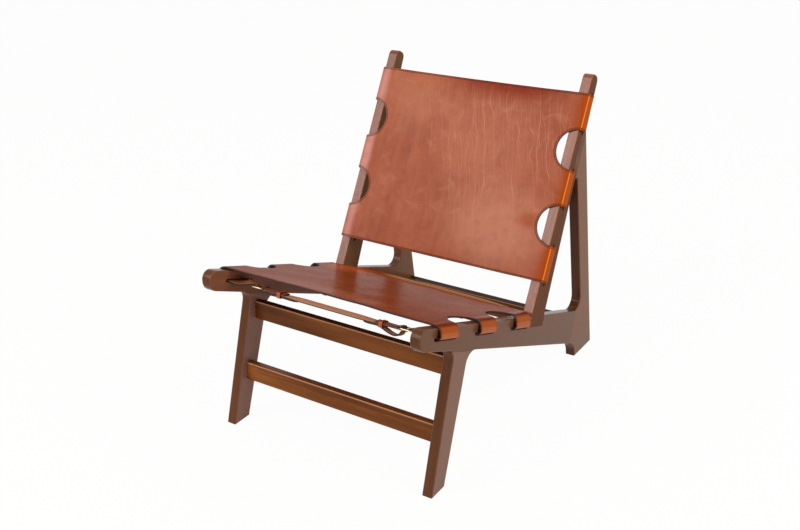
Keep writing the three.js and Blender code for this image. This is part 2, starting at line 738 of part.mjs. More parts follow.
// A leather loop round the folded strap and the billet's tail
function keeperGeometry(sling) {
  const level = buckleLevel(sling);
  const top = level - barRing + seamGap + strapThickness + keeperPlay;
  const bottom = level - barRing - strapThickness - seamGap - slingThickness - keeperPlay;
  const width = strapWidth + 2 * keeperPlay;
  const outside = roundedRectangle(width + 2 * keeperThickness, top - bottom + 2 * keeperThickness,
    keeperPlay + keeperThickness, plainArcAngle);
  const shape = new THREE.Shape(outside);
  shape.holes = [new THREE.Path(roundedRectangle(width, top - bottom, keeperPlay, smallArcAngle))];
  const loop = new THREE.ExtrudeGeometry(shape, { depth: keeperBand, bevelEnabled: false, steps: 1 });
  loop.applyMatrix4(sideBasis);
  return loop.translate(heelBarX - keeperSetback - keeperBand / 2, 0, (top + bottom) / 2);
}

// Assembly
const chair = new THREE.Group();
const addMesh = (parent, name, geometry, material) => {
  const mesh = new THREE.Mesh(geometry, material);
  mesh.name = name;
  parent.add(mesh);
  return mesh;
};
const sides = { left: -1, right: 1 };
const boardMaterials = {
  front_leg: materials.leg,
  seat_rail: materials.rail,
  back_upright: materials.upright,
  rear_leg: materials.leg,
};
Object.entries(sides).forEach(([sideName, side]) => {
  Object.entries(sideFrame(side)).forEach(([board, solid]) => {
    addMesh(chair, `${sideName}_${board}`, geometryOf(solid), boardMaterials[board]);
  });
});
Object.entries(barPlaces).forEach(([name, place]) => {
  addMesh(chair, name, geometryOf(crossbar(place)), materials.bar);
});

[seat, back].forEach((sling) => {
  chair.add(sling.frame);
  addMesh(sling.frame, `${sling.name}_sling`, geometryOf(slingSolid(sling)), materials.sling);
  sling.strapNames.forEach((strapName, k) => {
    const set = new THREE.Group();
    set.position.y = tabCentre(sling, k);
    sling.frame.add(set);
    const name = `${sling.name}_${strapName}`;
    addMesh(set, `${name}_strap`, geometryOf(strapSolid(sling)), materials.strap);
    Object.entries(sides).forEach(([sideName, side]) => {
      const end = new THREE.Group();
      end.rotation.z = side > 0 ? 0 : Math.PI;
      set.add(end);
      addMesh(end, `${name}_buckle_${sideName}`, buckleGeometry(sling), materials.brass);
      addMesh(end, `${name}_tongue_${sideName}`, tongueGeometry(sling), materials.brass);
      addMesh(end, `${name}_keeper_${sideName}`, keeperGeometry(sling), materials.keeper);
    });
  });
});

export default chair;
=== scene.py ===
# A low lounge chair of dark timber with a seat and a back of saddle leather, dressed over its CAD frame.
# Metres, and degrees where a name says so. X runs across the chair, Y towards its back, Z up.
import json
import math

import bmesh
import bpy
from mathutils import Matrix, Vector, kdtree, noise

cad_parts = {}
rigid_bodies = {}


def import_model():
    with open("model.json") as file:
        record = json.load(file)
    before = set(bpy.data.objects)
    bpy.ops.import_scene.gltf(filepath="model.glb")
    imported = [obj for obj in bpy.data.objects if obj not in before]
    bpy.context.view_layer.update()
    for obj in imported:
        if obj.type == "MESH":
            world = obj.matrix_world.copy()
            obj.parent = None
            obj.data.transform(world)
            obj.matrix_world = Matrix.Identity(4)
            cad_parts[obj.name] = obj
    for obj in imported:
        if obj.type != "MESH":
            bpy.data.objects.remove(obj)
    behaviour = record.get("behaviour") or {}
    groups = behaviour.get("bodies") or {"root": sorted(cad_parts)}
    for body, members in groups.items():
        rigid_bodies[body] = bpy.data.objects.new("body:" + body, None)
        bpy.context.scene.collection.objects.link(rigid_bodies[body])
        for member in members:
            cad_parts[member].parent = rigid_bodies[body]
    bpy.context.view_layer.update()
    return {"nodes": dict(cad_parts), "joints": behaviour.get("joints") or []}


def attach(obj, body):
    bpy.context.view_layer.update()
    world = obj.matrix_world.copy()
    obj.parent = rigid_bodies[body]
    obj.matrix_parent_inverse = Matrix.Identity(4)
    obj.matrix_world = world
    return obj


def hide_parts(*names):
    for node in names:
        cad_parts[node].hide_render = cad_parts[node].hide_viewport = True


for leftover in list(bpy.data.objects):
    bpy.data.objects.remove(leftover)

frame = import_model()
scene = bpy.context.scene
scene.view_settings.view_transform = "Standard"
joints = {joint["name"]: joint for joint in frame["joints"]}
sides = {"left": -1, "right": 1}


# Camera at the photograph's view
photoView = {
    "focalPixels": 1050.525,
    "imageWidth": 800,
    "sensorWidth": 36,
    "azimuthDegrees": 34.5523,
    "pitchDegrees": 24.7915,
    "rollDegrees": -2.2007,
    "place": (1.27802, -1.90901, 1.38658),
}


def addCamera(view):
    azimuth = math.radians(view["azimuthDegrees"])
    pitch = math.radians(view["pitchDegrees"])
    roll = math.radians(view["rollDegrees"])
    flat = math.cos(pitch)
    forward = Vector((-math.sin(azimuth) * flat, math.cos(azimuth) * flat, -math.sin(pitch)))
    level = Vector((math.cos(azimuth), math.sin(azimuth), 0))
    raised = level.cross(forward)
    across = level * math.cos(roll) + raised * math.sin(roll)
    up = raised * math.cos(roll) - level * math.sin(roll)
    data = bpy.data.cameras.new("photo_camera")
    data.sensor_fit = "HORIZONTAL"
    data.sensor_width = view["sensorWidth"]
    data.lens = view["focalPixels"] / view["imageWidth"] * view["sensorWidth"]
    camera = bpy.data.objects.new("photo_camera", data)
    turn = Matrix((across, up, -forward)).transposed().to_4x4()
    camera.matrix_world = Matrix.Translation(view["place"]) @ turn
    scene.collection.objects.link(camera)
    scene.camera = camera


addCamera(photoView)
print("camera placed")


# Shader building: a node is added to the tree of the socket that it follows
def addNode(tree, kind, inputs=None, **settings):
    node = tree.nodes.new(kind)
    for name, value in settings.items():
        setattr(node, name, value)
    for socket, value in (inputs or {}).items():
        if isinstance(value, bpy.types.NodeSocket):
            tree.links.new(value, node.inputs[socket])
        else:
            node.inputs[socket].default_value = value
    return node


def linear(red, green, blue):
    def channel(value):
        share = value / 255
        return share / 12.92 if share <= 0.04045 else ((share + 0.055) / 1.055) ** 2.4
    return (channel(red), channel(green), channel(blue), 1)


def newMaterial(name, **shaderValues):
    material = bpy.data.materials.new(name)
    material.use_nodes = True
    tree = material.node_tree
    shader = tree.nodes["Principled BSDF"]
    for socket, value in shaderValues.items():
        shader.inputs[socket.replace("_", " ")].default_value = value
    return material, tree, shader


def plugIn(node, **outputs):
    for socket, output in outputs.items():
        node.id_data.links.new(output, node.inputs[socket.replace("_", " ")])


def maths(operation, first, second=0.5):
    return addNode(first.id_data, "ShaderNodeMath", {0: first, 1: second}, operation=operation).outputs[0]


def mixed(factor, first, second, blend="MIX"):
    inputs = {0: factor, 6: first, 7: second}
    return addNode(factor.id_data, "ShaderNodeMix", inputs, data_type="RGBA", blend_type=blend).outputs[2]


def layered(colour, layers):
    for share, tone in layers:
        colour = mixed(share, colour, tone)
    return colour


def ranged(value, low, high, toLow=0.0, toHigh=1.0):
    inputs = {0: value, 1: low, 2: high, 3: toLow, 4: toHigh}
    return addNode(value.id_data, "ShaderNodeMapRange", inputs, interpolation_type="SMOOTHSTEP").outputs[0]


def vectors(operation, first, second):
    inputs = {0: first, 1: second}
    return addNode(first.id_data, "ShaderNodeVectorMath", inputs, operation=operation).outputs[0]


def stretched(vector, factors):
    return vectors("MULTIPLY", vector, factors)


def axesOf(vector):
    return addNode(vector.id_data, "ShaderNodeSeparateXYZ", {0: vector}).outputs


def objectPlace(tree):
    return addNode(tree, "ShaderNodeTexCoord").outputs["Object"]


def clouds(vector, scale, detail=3.0, roughness=0.55, distortion=0.0):
    return addNode(vector.id_data, "ShaderNodeTexNoise", {
        "Vector": vector,
        "Scale": scale,
        "Detail": detail,
        "Roughness": roughness,
        "Distortion": distortion,
    }).outputs[0]


def bumped(height, strength, distance, normal=None):
    inputs = {"Height": height, "Strength": strength, "Distance": distance}
    if normal is not None:
        inputs["Normal"] = normal
    return addNode(height.id_data, "ShaderNodeBump", inputs).outputs[0]


tiny = 1e-9  # two places along a line that are this close are one
weld = 1e-6  # points of a mesh that are this close become one


# A path in a sling's section, x across and n out from the board: straights and bends laid end to end
class SectionPath:
    def __init__(self, x, n, heading=0.0):
        self.parts = []
        self.end = (0.0, Vector((x, n)), heading)

    def lay(self, length, turn):
        start, place, heading = self.end
        self.parts.append((start, place, heading, length, turn))
        reached = self.at(start + length)
        self.end = (start + length, reached, heading + turn)
        return self

    def straight(self, length):
        return self.lay(length, 0.0)

    def bend(self, degrees, radius):
        return self.lay(abs(math.radians(degrees)) * radius, -math.radians(degrees))

    def at(self, s):
        start, place, heading, length, turn = [part for part in self.parts if part[0] <= s + tiny][-1]
        run = s - start
        if turn == 0:
            return place + Vector((math.cos(heading), math.sin(heading))) * run
        now = heading + turn * run / length
        radius = length / turn
        step = Vector((math.sin(now) - math.sin(heading), math.cos(heading) - math.cos(now)))
        return place + step * radius

    def stations(self, spacing, stepDegrees):
        marks = []
        for start, _, _, length, turn in self.parts:
            steps = max(1, math.ceil(length / spacing), math.ceil(abs(math.degrees(turn)) / stepDegrees))
            marks += [start + length * k / steps for k in range(steps)]
        return marks + [self.end[0]]


# Sizes that the leather shares with the CAD frame
halfWidth = 0.290
boardThickness = 0.026
seamGap = 0.0003
leatherThickness = 0.0035
tabCount = 3
cutoutRadius = 0.0485
cutoutOverhang = 0.004
cutoutCentre = halfWidth + cutoutOverhang
cutoutStart = cutoutCentre - cutoutRadius
slotHeight = 0.008
slotClearance = 0.0009
slotBendRadius = 0.004
flapFlareDegrees = 14
billetWidth = 0.018
billetTaper = 0.034
billetTip = 0.014
billetTipWidth = 0.007
frontBarX = 0.214
heelBarX = 0.188
barRadius = 0.0016
barEdgeRound = 0.001
barRing = math.hypot(barRadius, barRadius - barEdgeRound) + seamGap
strapThickness = 0.0028
strapWidth = 0.020
crossingDegrees = 30
crossingRadius = 0.009
tailLength = 0.100
crossingDrop = barRadius + seamGap + leatherThickness + barRing + strapThickness + seamGap

slings = {
    "seat": {
        "board": "seat_rail",
        "sets": ("seat_front", "seat_middle", "seat_rear"),
        "bendRadius": 0.013,
        "standOff": 0.005,
        "slotDepth": 0.0195,
        "lift": (0.002, 0.0075),  # at the front, at the rear
        "bow": 0.002,
        "rippleSeed": 3.817,
        "slack": {("seat_front", 1): 0.012, ("seat_front", -1): 0.002},  # of the billets' tails
        "droop": {"seat_front": 0.0032},
        "twistDegrees": {"seat_front": 26},
        "rollDegrees": {"seat_front": 16},
        "curl": (0.0, 0.0065, 0.0085),  # at the near edge, at the far edge, how far in
    },
    "back": {
        "board": "back_upright",
        "sets": ("back_lower", "back_middle", "back_upper"),
        "bendRadius": 0.007,
        "standOff": 0.0025,
        "slotDepth": 0.0185,
        "lift": (0.001, 0.001),
        "bow": -0.004,
        "rippleSeed": 3.763,
        "slack": {},
        "droop": {},
        "twistDegrees": {},
        "rollDegrees": {},
        "curl": (-0.003, -0.007, 0.06),
    },
}


def within(value):
    return min(max(value, 0.0), 1.0)


def smoothStep(value, low, high):
    share = within((value - low) / (high - low))
    return share * share * (3 - 2 * share)


def tabPath(sling):
    r = sling["bendRadius"] + seamGap
    flare = math.radians(flapFlareDegrees)
    slope = math.radians(crossingDegrees)
    bends = r * (1 - math.sin(flare)) + slotBendRadius * (1 + math.sin(flare))
    path = SectionPath(0, seamGap)
    path.straight(halfWidth + sling["standOff"] - sling["bendRadius"])
    path.bend(90 - flapFlareDegrees, r)
    path.straight((seamGap - bends - sling["slotLevel"]) / math.cos(flare))
    path.bend(90 + flapFlareDegrees, slotBendRadius)
    path.slotStart = path.end[0]
    path.slotEnd = path.slotStart + boardThickness
    path.straight(path.end[1].x - frontBarX + barRadius + seamGap)
    path.barStart = path.end[0] - 2 * barRadius
    path.bend(-crossingDegrees, crossingRadius)
    slant = (crossingDrop - 2 * crossingRadius * (1 - math.cos(slope))) / math.sin(slope)
    path.crossing = path.end[0] + slant / 2
    path.straight(slant)
    path.bend(crossingDegrees, crossingRadius)
    path.tail = path.end[0]
    path.straight(path.end[1].x - heelBarX + tailLength)
    return path


# Each sling's frame of reference comes from the hinges of its right-hand buckle tongues
def placeSling(sling):
    heels = [joints[name + "_tongue_right_turn"] for name in sling["sets"]]
    first, second = (Vector(heel["pos_m"]) for heel in heels[:2])
    along = Vector(heels[0]["axis"]).normalized()
    out = Vector((0, -along.z, along.y))
    sling["pitch"] = (second - first).dot(along)
    sling["slotLevel"] = -sling["slotDepth"] - slotClearance
    sling["level"] = sling["slotLevel"] - leatherThickness - seamGap - barRadius
    sling["tabWidth"] = sling["pitch"] - 2 * cutoutRadius
    sling["length"] = tabCount * sling["tabWidth"] + 2 * (tabCount - 1) * cutoutRadius
    origin = first - along * sling["tabWidth"] / 2 - out * sling["level"]
    origin.x = 0
    turn = Matrix((Vector((1, 0, 0)), along, out)).transposed().to_4x4()
    sling["matrix"] = Matrix.Translation(origin) @ turn
    sling["path"] = tabPath(sling)


for sling in slings.values():
    placeSling(sling)


# Timber: growth rings round an axis far outside the board, fibres and pores along the grain, and light and
# shade painted by which way a face looks
timberGrain = {
    "rings": {"Scale": 26, "Distortion": 7, "Detail": 2.5, "Detail Scale": 1.6},
    "tone": {"scale": 11, "detail": 3},
    "fibres": {"scale": 520, "detail": 3, "roughness": 0.6},
    "pores": {"scale": 900, "detail": 1, "roughness": 0.5},
    "lengthwise": {"rings": 0.06, "tone": 0.16, "fibres": 0.022, "pores": 0.03},
    "streakShare": 0.35,
    "poreShare": 0.3,
    "poreDepth": 0.6,
    "bump": {"strength": 0.25, "distance": 0.0003},
    "sideFaces": (0.6, 0.95),  # how far a face has to look that way
    "topFaces": (0.6, 0.9),
    "underFaces": (-0.2, -0.5),
    "edgeStarts": (0.2, 0.45),
    "edgeEnds": (0.98, 0.85),
}


# Light and shade painted by which way a face looks: a side tone (painted sheen on most boards, painted shade
# on the uprights' flanks), painted shade on tops and undersides, and a painted highlight on rounded edges
def paintLightByFace(look, colour):
    facing = axesOf(addNode(colour.id_data, "ShaderNodeNewGeometry").outputs["True Normal"])
    sideways = maths("ABSOLUTE", facing["X"])
    upwards = facing["Z"]
    leaning = upwards if look["edgeFrom"] == "Z" else sideways
    edgeHighlightMask = maths("MULTIPLY", ranged(leaning, *timberGrain["edgeStarts"]),
                     ranged(leaning, *timberGrain["edgeEnds"]))
    colour = layered(colour, (
        (ranged(sideways, *timberGrain["sideFaces"], 0, look["sideLightShare"]), look["face"]),
        (ranged(upwards, *timberGrain["topFaces"], 0, look["topShadeShare"]), look["top"]),
        (ranged(upwards, *timberGrain["underFaces"], 0, look["underShadeShare"]), look["top"]),
        (maths("MULTIPLY", edgeHighlightMask, look["edgeHighlightShare"]), look["edge"]),
    ))
    gloss = ranged(sideways, *timberGrain["sideFaces"], look["gloss"], look["sideGloss"])
    return colour, gloss


def timberMaterial(name, look):
    material, tree, shader = newMaterial(name, Specular_IOR_Level=look["sideGloss"])
    turned = addNode(tree, "ShaderNodeMapping", {
        "Vector": objectPlace(tree),
        "Rotation": look["grainTurn"],
        "Location": look["pith"],
    }).outputs[0]
    drawn = {}
    for pattern, share in timberGrain["lengthwise"].items():
        drawn[pattern] = stretched(turned, (1, share, 1))
    rings = addNode(tree, "ShaderNodeTexWave", {"Vector": drawn["rings"], **timberGrain["rings"]},
                    wave_type="RINGS", rings_direction="Y", wave_profile="SAW").outputs["Fac"]
    tone = clouds(drawn["tone"], **timberGrain["tone"])
    fibres = clouds(drawn["fibres"], **timberGrain["fibres"])
    pores = clouds(drawn["pores"], **timberGrain["pores"])
    colour = mixed(ranged(tone, 0.32, 0.68), *look["colours"])
    colour = mixed(maths("MULTIPLY", rings, look["ringShare"]), colour, look["ring"])
    streaks = ranged(fibres, 0.36, 0.66, 0, timberGrain["streakShare"])
    colour = mixed(streaks, colour, look["streak"], "MULTIPLY")
    colour = mixed(ranged(pores, 0.63, 0.72, 0, timberGrain["poreShare"]), colour, look["pore"])
    colour, gloss = paintLightByFace(look, colour)
    relief = maths("SUBTRACT", fibres, ranged(pores, 0.62, 0.72, 0, timberGrain["poreDepth"]))
    plugIn(shader, Base_Color=colour, Specular_IOR_Level=gloss,
           Roughness=ranged(fibres, 0.3, 0.7, *look["roughness"]),
           Normal=bumped(relief, **timberGrain["bump"]))
    return material


# Boards and crossbars: the CAD shapes with smooth rounds, each with its own timber
walnut = {
    "colours": (linear(82, 44, 18), linear(104, 58, 26)),
    "ring": linear(70, 38, 18),
    "ringShare": 0.25,
    "streak": linear(205, 188, 174),
    "pore": linear(44, 24, 12),
    # The side tone ("face") is painted sheen on the boards' sides
    "sideLightShare": 0.7,
    # The "top" colour is painted shade, laid on upward faces and on undersides
    "top": linear(34, 17, 8),
    "topShadeShare": 0,
    # The "edge" colour is a painted highlight on the boards' rounded edges
    "edge": linear(150, 108, 86),
    "edgeFrom": "X",
    "edgeHighlightShare": 0.3,
    "underShadeShare": 0,
    "gloss": 0.18,
    "sideGloss": 0.12,
    "roughness": (0.18, 0.28),
}
# Each board's "face" is its painted side tone: greyed painted sheen on legs, rails and rear legs, darker
# painted shade on the uprights' flanks
boards = {
    "front_leg": {"grainDegrees": 70.4, "face": linear(137, 101, 84)},
    "seat_rail": {"grainDegrees": -21.3, "face": linear(109, 74, 52)},
    "back_upright": {
        "grainDegrees": 61.7,
        # The uprights' lighter, redder walnut is painted light on their upward-facing fronts
        "colours": (linear(126, 60, 26), linear(148, 76, 38)),
        "face": linear(73, 45, 16),
        "gloss": 0.38,
        "sideGloss": 0.03,
    },
    "rear_leg": {"grainDegrees": 97.6, "face": linear(127, 85, 52)},
}
# The left boards' side tones are lighter: painted light on their shaded inner faces
sideLightByBoard = {
    "left_front_leg": {"face": linear(158, 120, 108)},
    "left_seat_rail": {"face": linear(134, 82, 56)},
    "left_back_upright": {"face": linear(104, 80, 52)},
}
barTimber = {
    **walnut,
    "colours": (linear(98, 50, 14), linear(154, 90, 38)),
    "ring": linear(66, 34, 12),
    "ringShare": 0.4,
    "face": linear(136, 98, 78),
    # A paler painted highlight on the bars' rounded edges
    "edge": linear(196, 140, 108),
    "edgeFrom": "Z",
    "edgeHighlightShare": 0.8,
    # Painted shade (the "top" colour) along the bars' undersides
    "underShadeShare": 0.8,
    "gloss": 0.1,
}
# Each bar's top share is painted shade on its top face, deepest on the upper bar under the seat and on the
# rear bar
bars = {
    # The upper bar's darker colours are painted shade from the seat above it
    "front_upper_bar": {"topShadeShare": 0.9, "colours": (linear(84, 42, 12), linear(132, 76, 32))},
    "front_stretcher": {"topShadeShare": 0.05},
    "rear_bar": {"topShadeShare": 0.75},
}
boardPith = {"first": (0.21, 0.32), "step": (0.05, -0.06), "lengthwise": 0.37}
barPith = {"first": (0.4, -0.3), "step": (0.1, 0), "lengthwise": 0.7}
dressing = {
    "flatBelowDegrees": 0.5,
    "smoothBelowDegrees": 50,
    "normalWeight": 90,
    "slotSpare": 1e-4,
    "slotSideways": 0.3,
}
# Near-black painted shade for the slots' inner faces
slotShade = newMaterial("timber_slot_painted_shade", Base_Color=linear(14, 8, 5), Roughness=0.9)[0]
slottedBoards = {sling["board"]: sling for sling in slings.values()}


def inSlot(face, sling):
    _, v, n = sling["matrix"].inverted() @ face.calc_center_median()
    middle = -sling["slotDepth"] - slotHeight / 2
    inside = 0 < v < sling["length"] and abs(n - middle) < slotHeight / 2 + dressing["slotSpare"]
    return inside and abs(face.normal.x) < dressing["slotSideways"]


def dressNode(node, material, body, sling=None):
    mesh = frame["nodes"][node].data.copy()
    mesh.name = node + "_dressed"
    bm = bmesh.new()
    bm.from_mesh(mesh)
    bmesh.ops.remove_doubles(bm, verts=bm.verts, dist=weld)
    bmesh.ops.recalc_face_normals(bm, faces=bm.faces)
    flatBelow = math.radians(dressing["flatBelowDegrees"])
    bmesh.ops.dissolve_limit(bm, angle_limit=flatBelow, verts=bm.verts, edges=bm.edges)
    # Faces inside a slot take the painted slot shade
    for face in bm.faces:
        face.material_index = 1 if sling and inSlot(face, sling) else 0
    bm.to_mesh(mesh)
    bm.free()
    mesh.materials.clear()
    mesh.materials.append(material)
    if sling:
        mesh.materials.append(slotShade)
    mesh.shade_smooth()
    mesh.set_sharp_from_angle(angle=math.radians(dressing["smoothBelowDegrees"]))
    piece = bpy.data.objects.new(node + "_dressed", mesh)
    scene.collection.objects.link(piece)
    weighted = piece.modifiers.new("weighted", "WEIGHTED_NORMAL")
    weighted.keep_sharp = True
    weighted.weight = dressing["normalWeight"]
    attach(piece, body)
    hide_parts(node)


# The heart of the log lies elsewhere for each board, so no two show the same rings
def pithOf(pith, across, lengthwise):
    x, z = pith["first"]
    stepX, stepZ = pith["step"]
    return (x + stepX * across, pith["lengthwise"] * lengthwise, z + stepZ * across)


for sideIndex, side in enumerate(sides):
    for boardIndex, (board, look) in enumerate(boards.items()):
        timber = timberMaterial(f"timber_{side}_{board}", {
            **walnut,
            **look,
            **sideLightByBoard.get(f"{side}_{board}", {}),
            "grainTurn": (-math.radians(look["grainDegrees"]), 0, 0),
            "pith": pithOf(boardPith, boardIndex, boardIndex + len(boards) * sideIndex),
        })
        dressNode(f"{side}_{board}", timber, "chair", slottedBoards.get(board))
for barIndex, (bar, look) in enumerate(bars.items()):
    timber = timberMaterial("timber_" + bar, {
        **barTimber,
        **look,
        "grainTurn": (0, 0, math.radians(90)),
        "pith": pithOf(barPith, barIndex, barIndex),
    })
    dressNode(bar, timber, "chair")
print("timber dressed")


def tabCentre(sling, k):
    return sling["tabWidth"] / 2 + k * sling["pitch"]


def tabBounds(sling, k, s):
    path = sling["path"]
    centre = tabCentre(sling, k)
    if s < cutoutCentre:
        reach = min(cutoutCentre - s, cutoutRadius)
        half = sling["tabWidth"] / 2 + cutoutRadius - math.sqrt(max(cutoutRadius ** 2 - reach ** 2, 0))
        low = 0 if k == 0 else centre - half
        high = sling["length"] if k == tabCount - 1 else centre + half
        return low, high
    narrowing = smoothStep(s, path.slotEnd, path.slotEnd + billetTaper)
    width = sling["tabWidth"] + (billetWidth - sling["tabWidth"]) * narrowing
    tip = within((s - path.end[0] + billetTip) / billetTip) ** 2
    width += (min(width, billetTipWidth) - width) * tip
    return centre - width / 2, centre + width / 2


# What the drawn-tight leather still does, by distance across, past the slot's end or from the front bar
drape = {
    "curlFades": (0.16, 0.27),
    "ripple": 0.0012,
    "rippleScale": (14, 11),
    "rippleFades": (0.20, cutoutStart),
    "rollFades": (0.07, 0.17),
    "droopGrows": (-boardThickness, -0.010),
    "droopFades": (0.004, 0.036),
    "twistGrows": (0.002, 0.028),
    "twistFades": (-0.020, 0.0),
    "tailRun": 0.060,
    "tailSkew": 0.55,
    "tailRound": 1.2,
}


# A strap and the billet's tail roll together about the strap's middle, most between the keepers
def rolled(sling, k, place, degrees=None):
    if degrees is None:
        fading = smoothStep(abs(place.x), *drape["rollFades"])
        degrees = sling["rollDegrees"].get(sling["sets"][k], 0) * (1 - fading)
    angle = math.radians(degrees)
    centre = Vector((tabCentre(sling, k), sling["level"]))
    dv, dn = place.y - centre.x, place.z - centre.y
    v = centre.x + dv * math.cos(angle) - dn * math.sin(angle)
    n = centre.y + dn * math.cos(angle) + dv * math.sin(angle)
    return sling["matrix"] @ Vector((place.x, v, n))


# How far the leather stands off its drawn-tight section
def liftedBy(sling, s, v, place):
    share = min(abs(s) / cutoutStart, 1)
    nearCurl, farCurl, reach = sling["curl"]
    free = 1 - smoothStep(abs(s), *drape["curlFades"])
    bow = sling["bow"] * (1 - share * share) ** 2
    bow += free * nearCurl * (1 - within(v / reach)) ** 2
    bow += free * farCurl * (1 - within((sling["length"] - v) / reach)) ** 2
    height = within(1 - (seamGap - place.y) / (seamGap - sling["slotLevel"]))
    nearLift, farLift = sling["lift"]
    lift = nearLift + (farLift - nearLift) * v / sling["length"]
    across, along = drape["rippleScale"]
    ripple = noise.noise(Vector((s * across, v * along, sling["rippleSeed"]))) * drape["ripple"]
    ripple *= 1 - smoothStep(abs(s), *drape["rippleFades"])
    return bow + height * lift + ripple


# Where a point of the cut hide lies: s from the middle across and down the tabs, v along the board
def slingPoint(sling, s, v):
    path = sling["path"]
    place = path.at(abs(s))
    spot = Vector((math.copysign(place.x, s), v, place.y + liftedBy(sling, s, v, place)))
    k = min(int(max(v, 0) / sling["pitch"]), tabCount - 1)
    setName = sling["sets"][k]
    pastSlot = abs(s) - path.slotEnd
    if abs(s) <= path.tail:
        sunk = smoothStep(pastSlot, *drape["droopGrows"]) * (1 - smoothStep(pastSlot, *drape["droopFades"]))
        spot.z -= sunk * sling["droop"].get(setName, 0)
        twist = smoothStep(pastSlot, *drape["twistGrows"])
        twist *= 1 - smoothStep(abs(s) - path.barStart, *drape["twistFades"])
        return rolled(sling, k, spot, twist * sling["twistDegrees"].get(setName, 0))
    run = min((abs(s) - path.tail) / drape["tailRun"], 1)
    hang = math.sin(math.pi * run ** drape["tailSkew"]) ** drape["tailRound"]
    spot.z -= sling["slack"].get((setName, math.copysign(1, s)), 0) * hang
    return rolled(sling, k, spot)


def slingNormal(sling, s, v, step=0.0004):
    across = slingPoint(sling, s + step, v) - slingPoint(sling, s - step, v)
    along = slingPoint(sling, s, v + step) - slingPoint(sling, s, v - step)
    return across.cross(along).normalized()


# A flat pattern: one grid of quads per area, moved to its place on the pattern
def patternGrid(bm, stations, shares, bounds):
    columns = len(stations) - 1
    rows = len(shares) - 1
    grid = bmesh.ops.create_grid(bm, x_segments=columns, y_segments=rows, size=1)
    for vert in grid["verts"]:
        s = stations[round((vert.co.x + 1) / 2 * columns)]
        low, high = bounds(s)
        vert.co = (s, low + (high - low) * shares[round((vert.co.y + 1) / 2 * rows)], 0)


def evenly(low, high, count):
    return [low + (high - low) * k / count for k in range(count + 1)]


# Keeps the flat place of each point as a UV and its distance from the cut edge as an attribute
def keepPattern(bm, markSpacing=0.001):
    uvLayer = bm.loops.layers.uv.new("flat")
    edgeLayer = bm.verts.layers.float.new("edgeDistance")
    for face in bm.faces:
        for loop in face.loops:
            loop[uvLayer].uv = loop.vert.co.xy
    rim = [edge for edge in bm.edges if edge.is_boundary]
    marks = []
    for edge in rim:
        first, last = (vert.co for vert in edge.verts)
        steps = max(1, math.ceil((last - first).length / markSpacing))
        marks += [first.lerp(last, k / steps) for k in range(steps)]
    tree = kdtree.KDTree(len(marks))
    for index, mark in enumerate(marks):
        tree.insert(mark, index)
    tree.balance()
    for vert in bm.verts:
        vert[edgeLayer] = tree.find(vert.co)[2]


def meshPiece(name, bm, materials, body):
    mesh = bpy.data.meshes.new(name)
    bm.to_mesh(mesh)
    bm.free()
    for material in materials:
        mesh.materials.append(material)
    mesh.shade_smooth()
    piece = bpy.data.objects.new(name, mesh)
    scene.collection.objects.link(piece)
    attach(piece, body)
    return piece


# Gives a band its thickness: grain side first, then the cut edge, then the flesh side
def thicken(piece, thickness, edgeRound):
    solid = piece.modifiers.new("thickness", "SOLIDIFY")
    solid.thickness = thickness
    solid.offset = 1
    solid.use_even_offset = True
    solid.material_offset = 2
    solid.material_offset_rim = 1
    bevel = piece.modifiers.new("rounded_edge", "BEVEL")
    bevel.width = edgeRound
    bevel.segments = 2
    bevel.limit_method = "ANGLE"
    bevel.angle_limit = math.radians(60)


# Leather: clouded colour, pores, pale growth wrinkles, deep patches, a darker burnished margin, and painted
# sheen, shade and highlights on patches, tab rolls and the seat's rear hem
hideGrain = {
    "broad": {"scale": 7, "detail": 4, "roughness": 0.6, "distortion": 0.4},
    "mottle": {"scale": 46, "detail": 4, "roughness": 0.6},
    "blotches": {"scale": 19, "detail": 4, "roughness": 0.65, "distortion": 0.8},
    "brushed": {"scale": 1, "detail": 4, "roughness": 0.6},
    "speckle": {"scale": 420, "detail": 2, "roughness": 0.6},
    "speckleShare": 0.25,
    "pebbles": 620,
    "pebbleBump": {"strength": 0.2, "distance": 0.0004},
    "dents": {"scale": 26, "detail": 3},
    "dentBump": {"strength": 0.12, "distance": 0.003},
    "wrinkleHeight": 0.0008,
    "patchFades": (0.15, 1),
    "patchUneven": (0.25, 0.6, 0.6, 1),
    "burnishFades": (0.0008, 0.006),
    "grooveFades": (0.0003, 0.0013),
    "grooveShare": 0.45,
    "tabGlossGrows": (0.262, 0.284),
    "leftFades": (-0.1, 0.1),
    "hemGrows": (-0.14, -0.02),
    "hemFades": (0.22, 0.24),
    "hemShare": 0.85,
}


def patchMask(flat, patch):
    acrossReach, alongReach = patch["reach"]
    away = stretched(vectors("SUBTRACT", flat, patch["at"]), (1 / acrossReach, 1 / alongReach, 0))
    distance = addNode(flat.id_data, "ShaderNodeVectorMath", {0: away}, operation="LENGTH").outputs["Value"]
    return ranged(distance, *hideGrain["patchFades"], patch["strength"], 0)


def creases(vector, lines):
    sway = clouds(stretched(vector, lines["bend"]), scale=1, detail=3, roughness=0.6)
    evenPhase = maths("MULTIPLY", axesOf(vector)["X"], lines["perMetre"])
    phase = maths("ADD", evenPhase, maths("MULTIPLY", sway, lines["sway"]))
    away = maths("ABSOLUTE", maths("SUBTRACT", maths("FRACT", phase), 0.5))
    broken = clouds(stretched(vector, lines["breaks"]), scale=1, detail=2)
    shown = ranged(broken, 0.41, 0.58, 0, lines["share"])
    return maths("MULTIPLY", ranged(away, 0, lines["width"], 1, 0), shown)


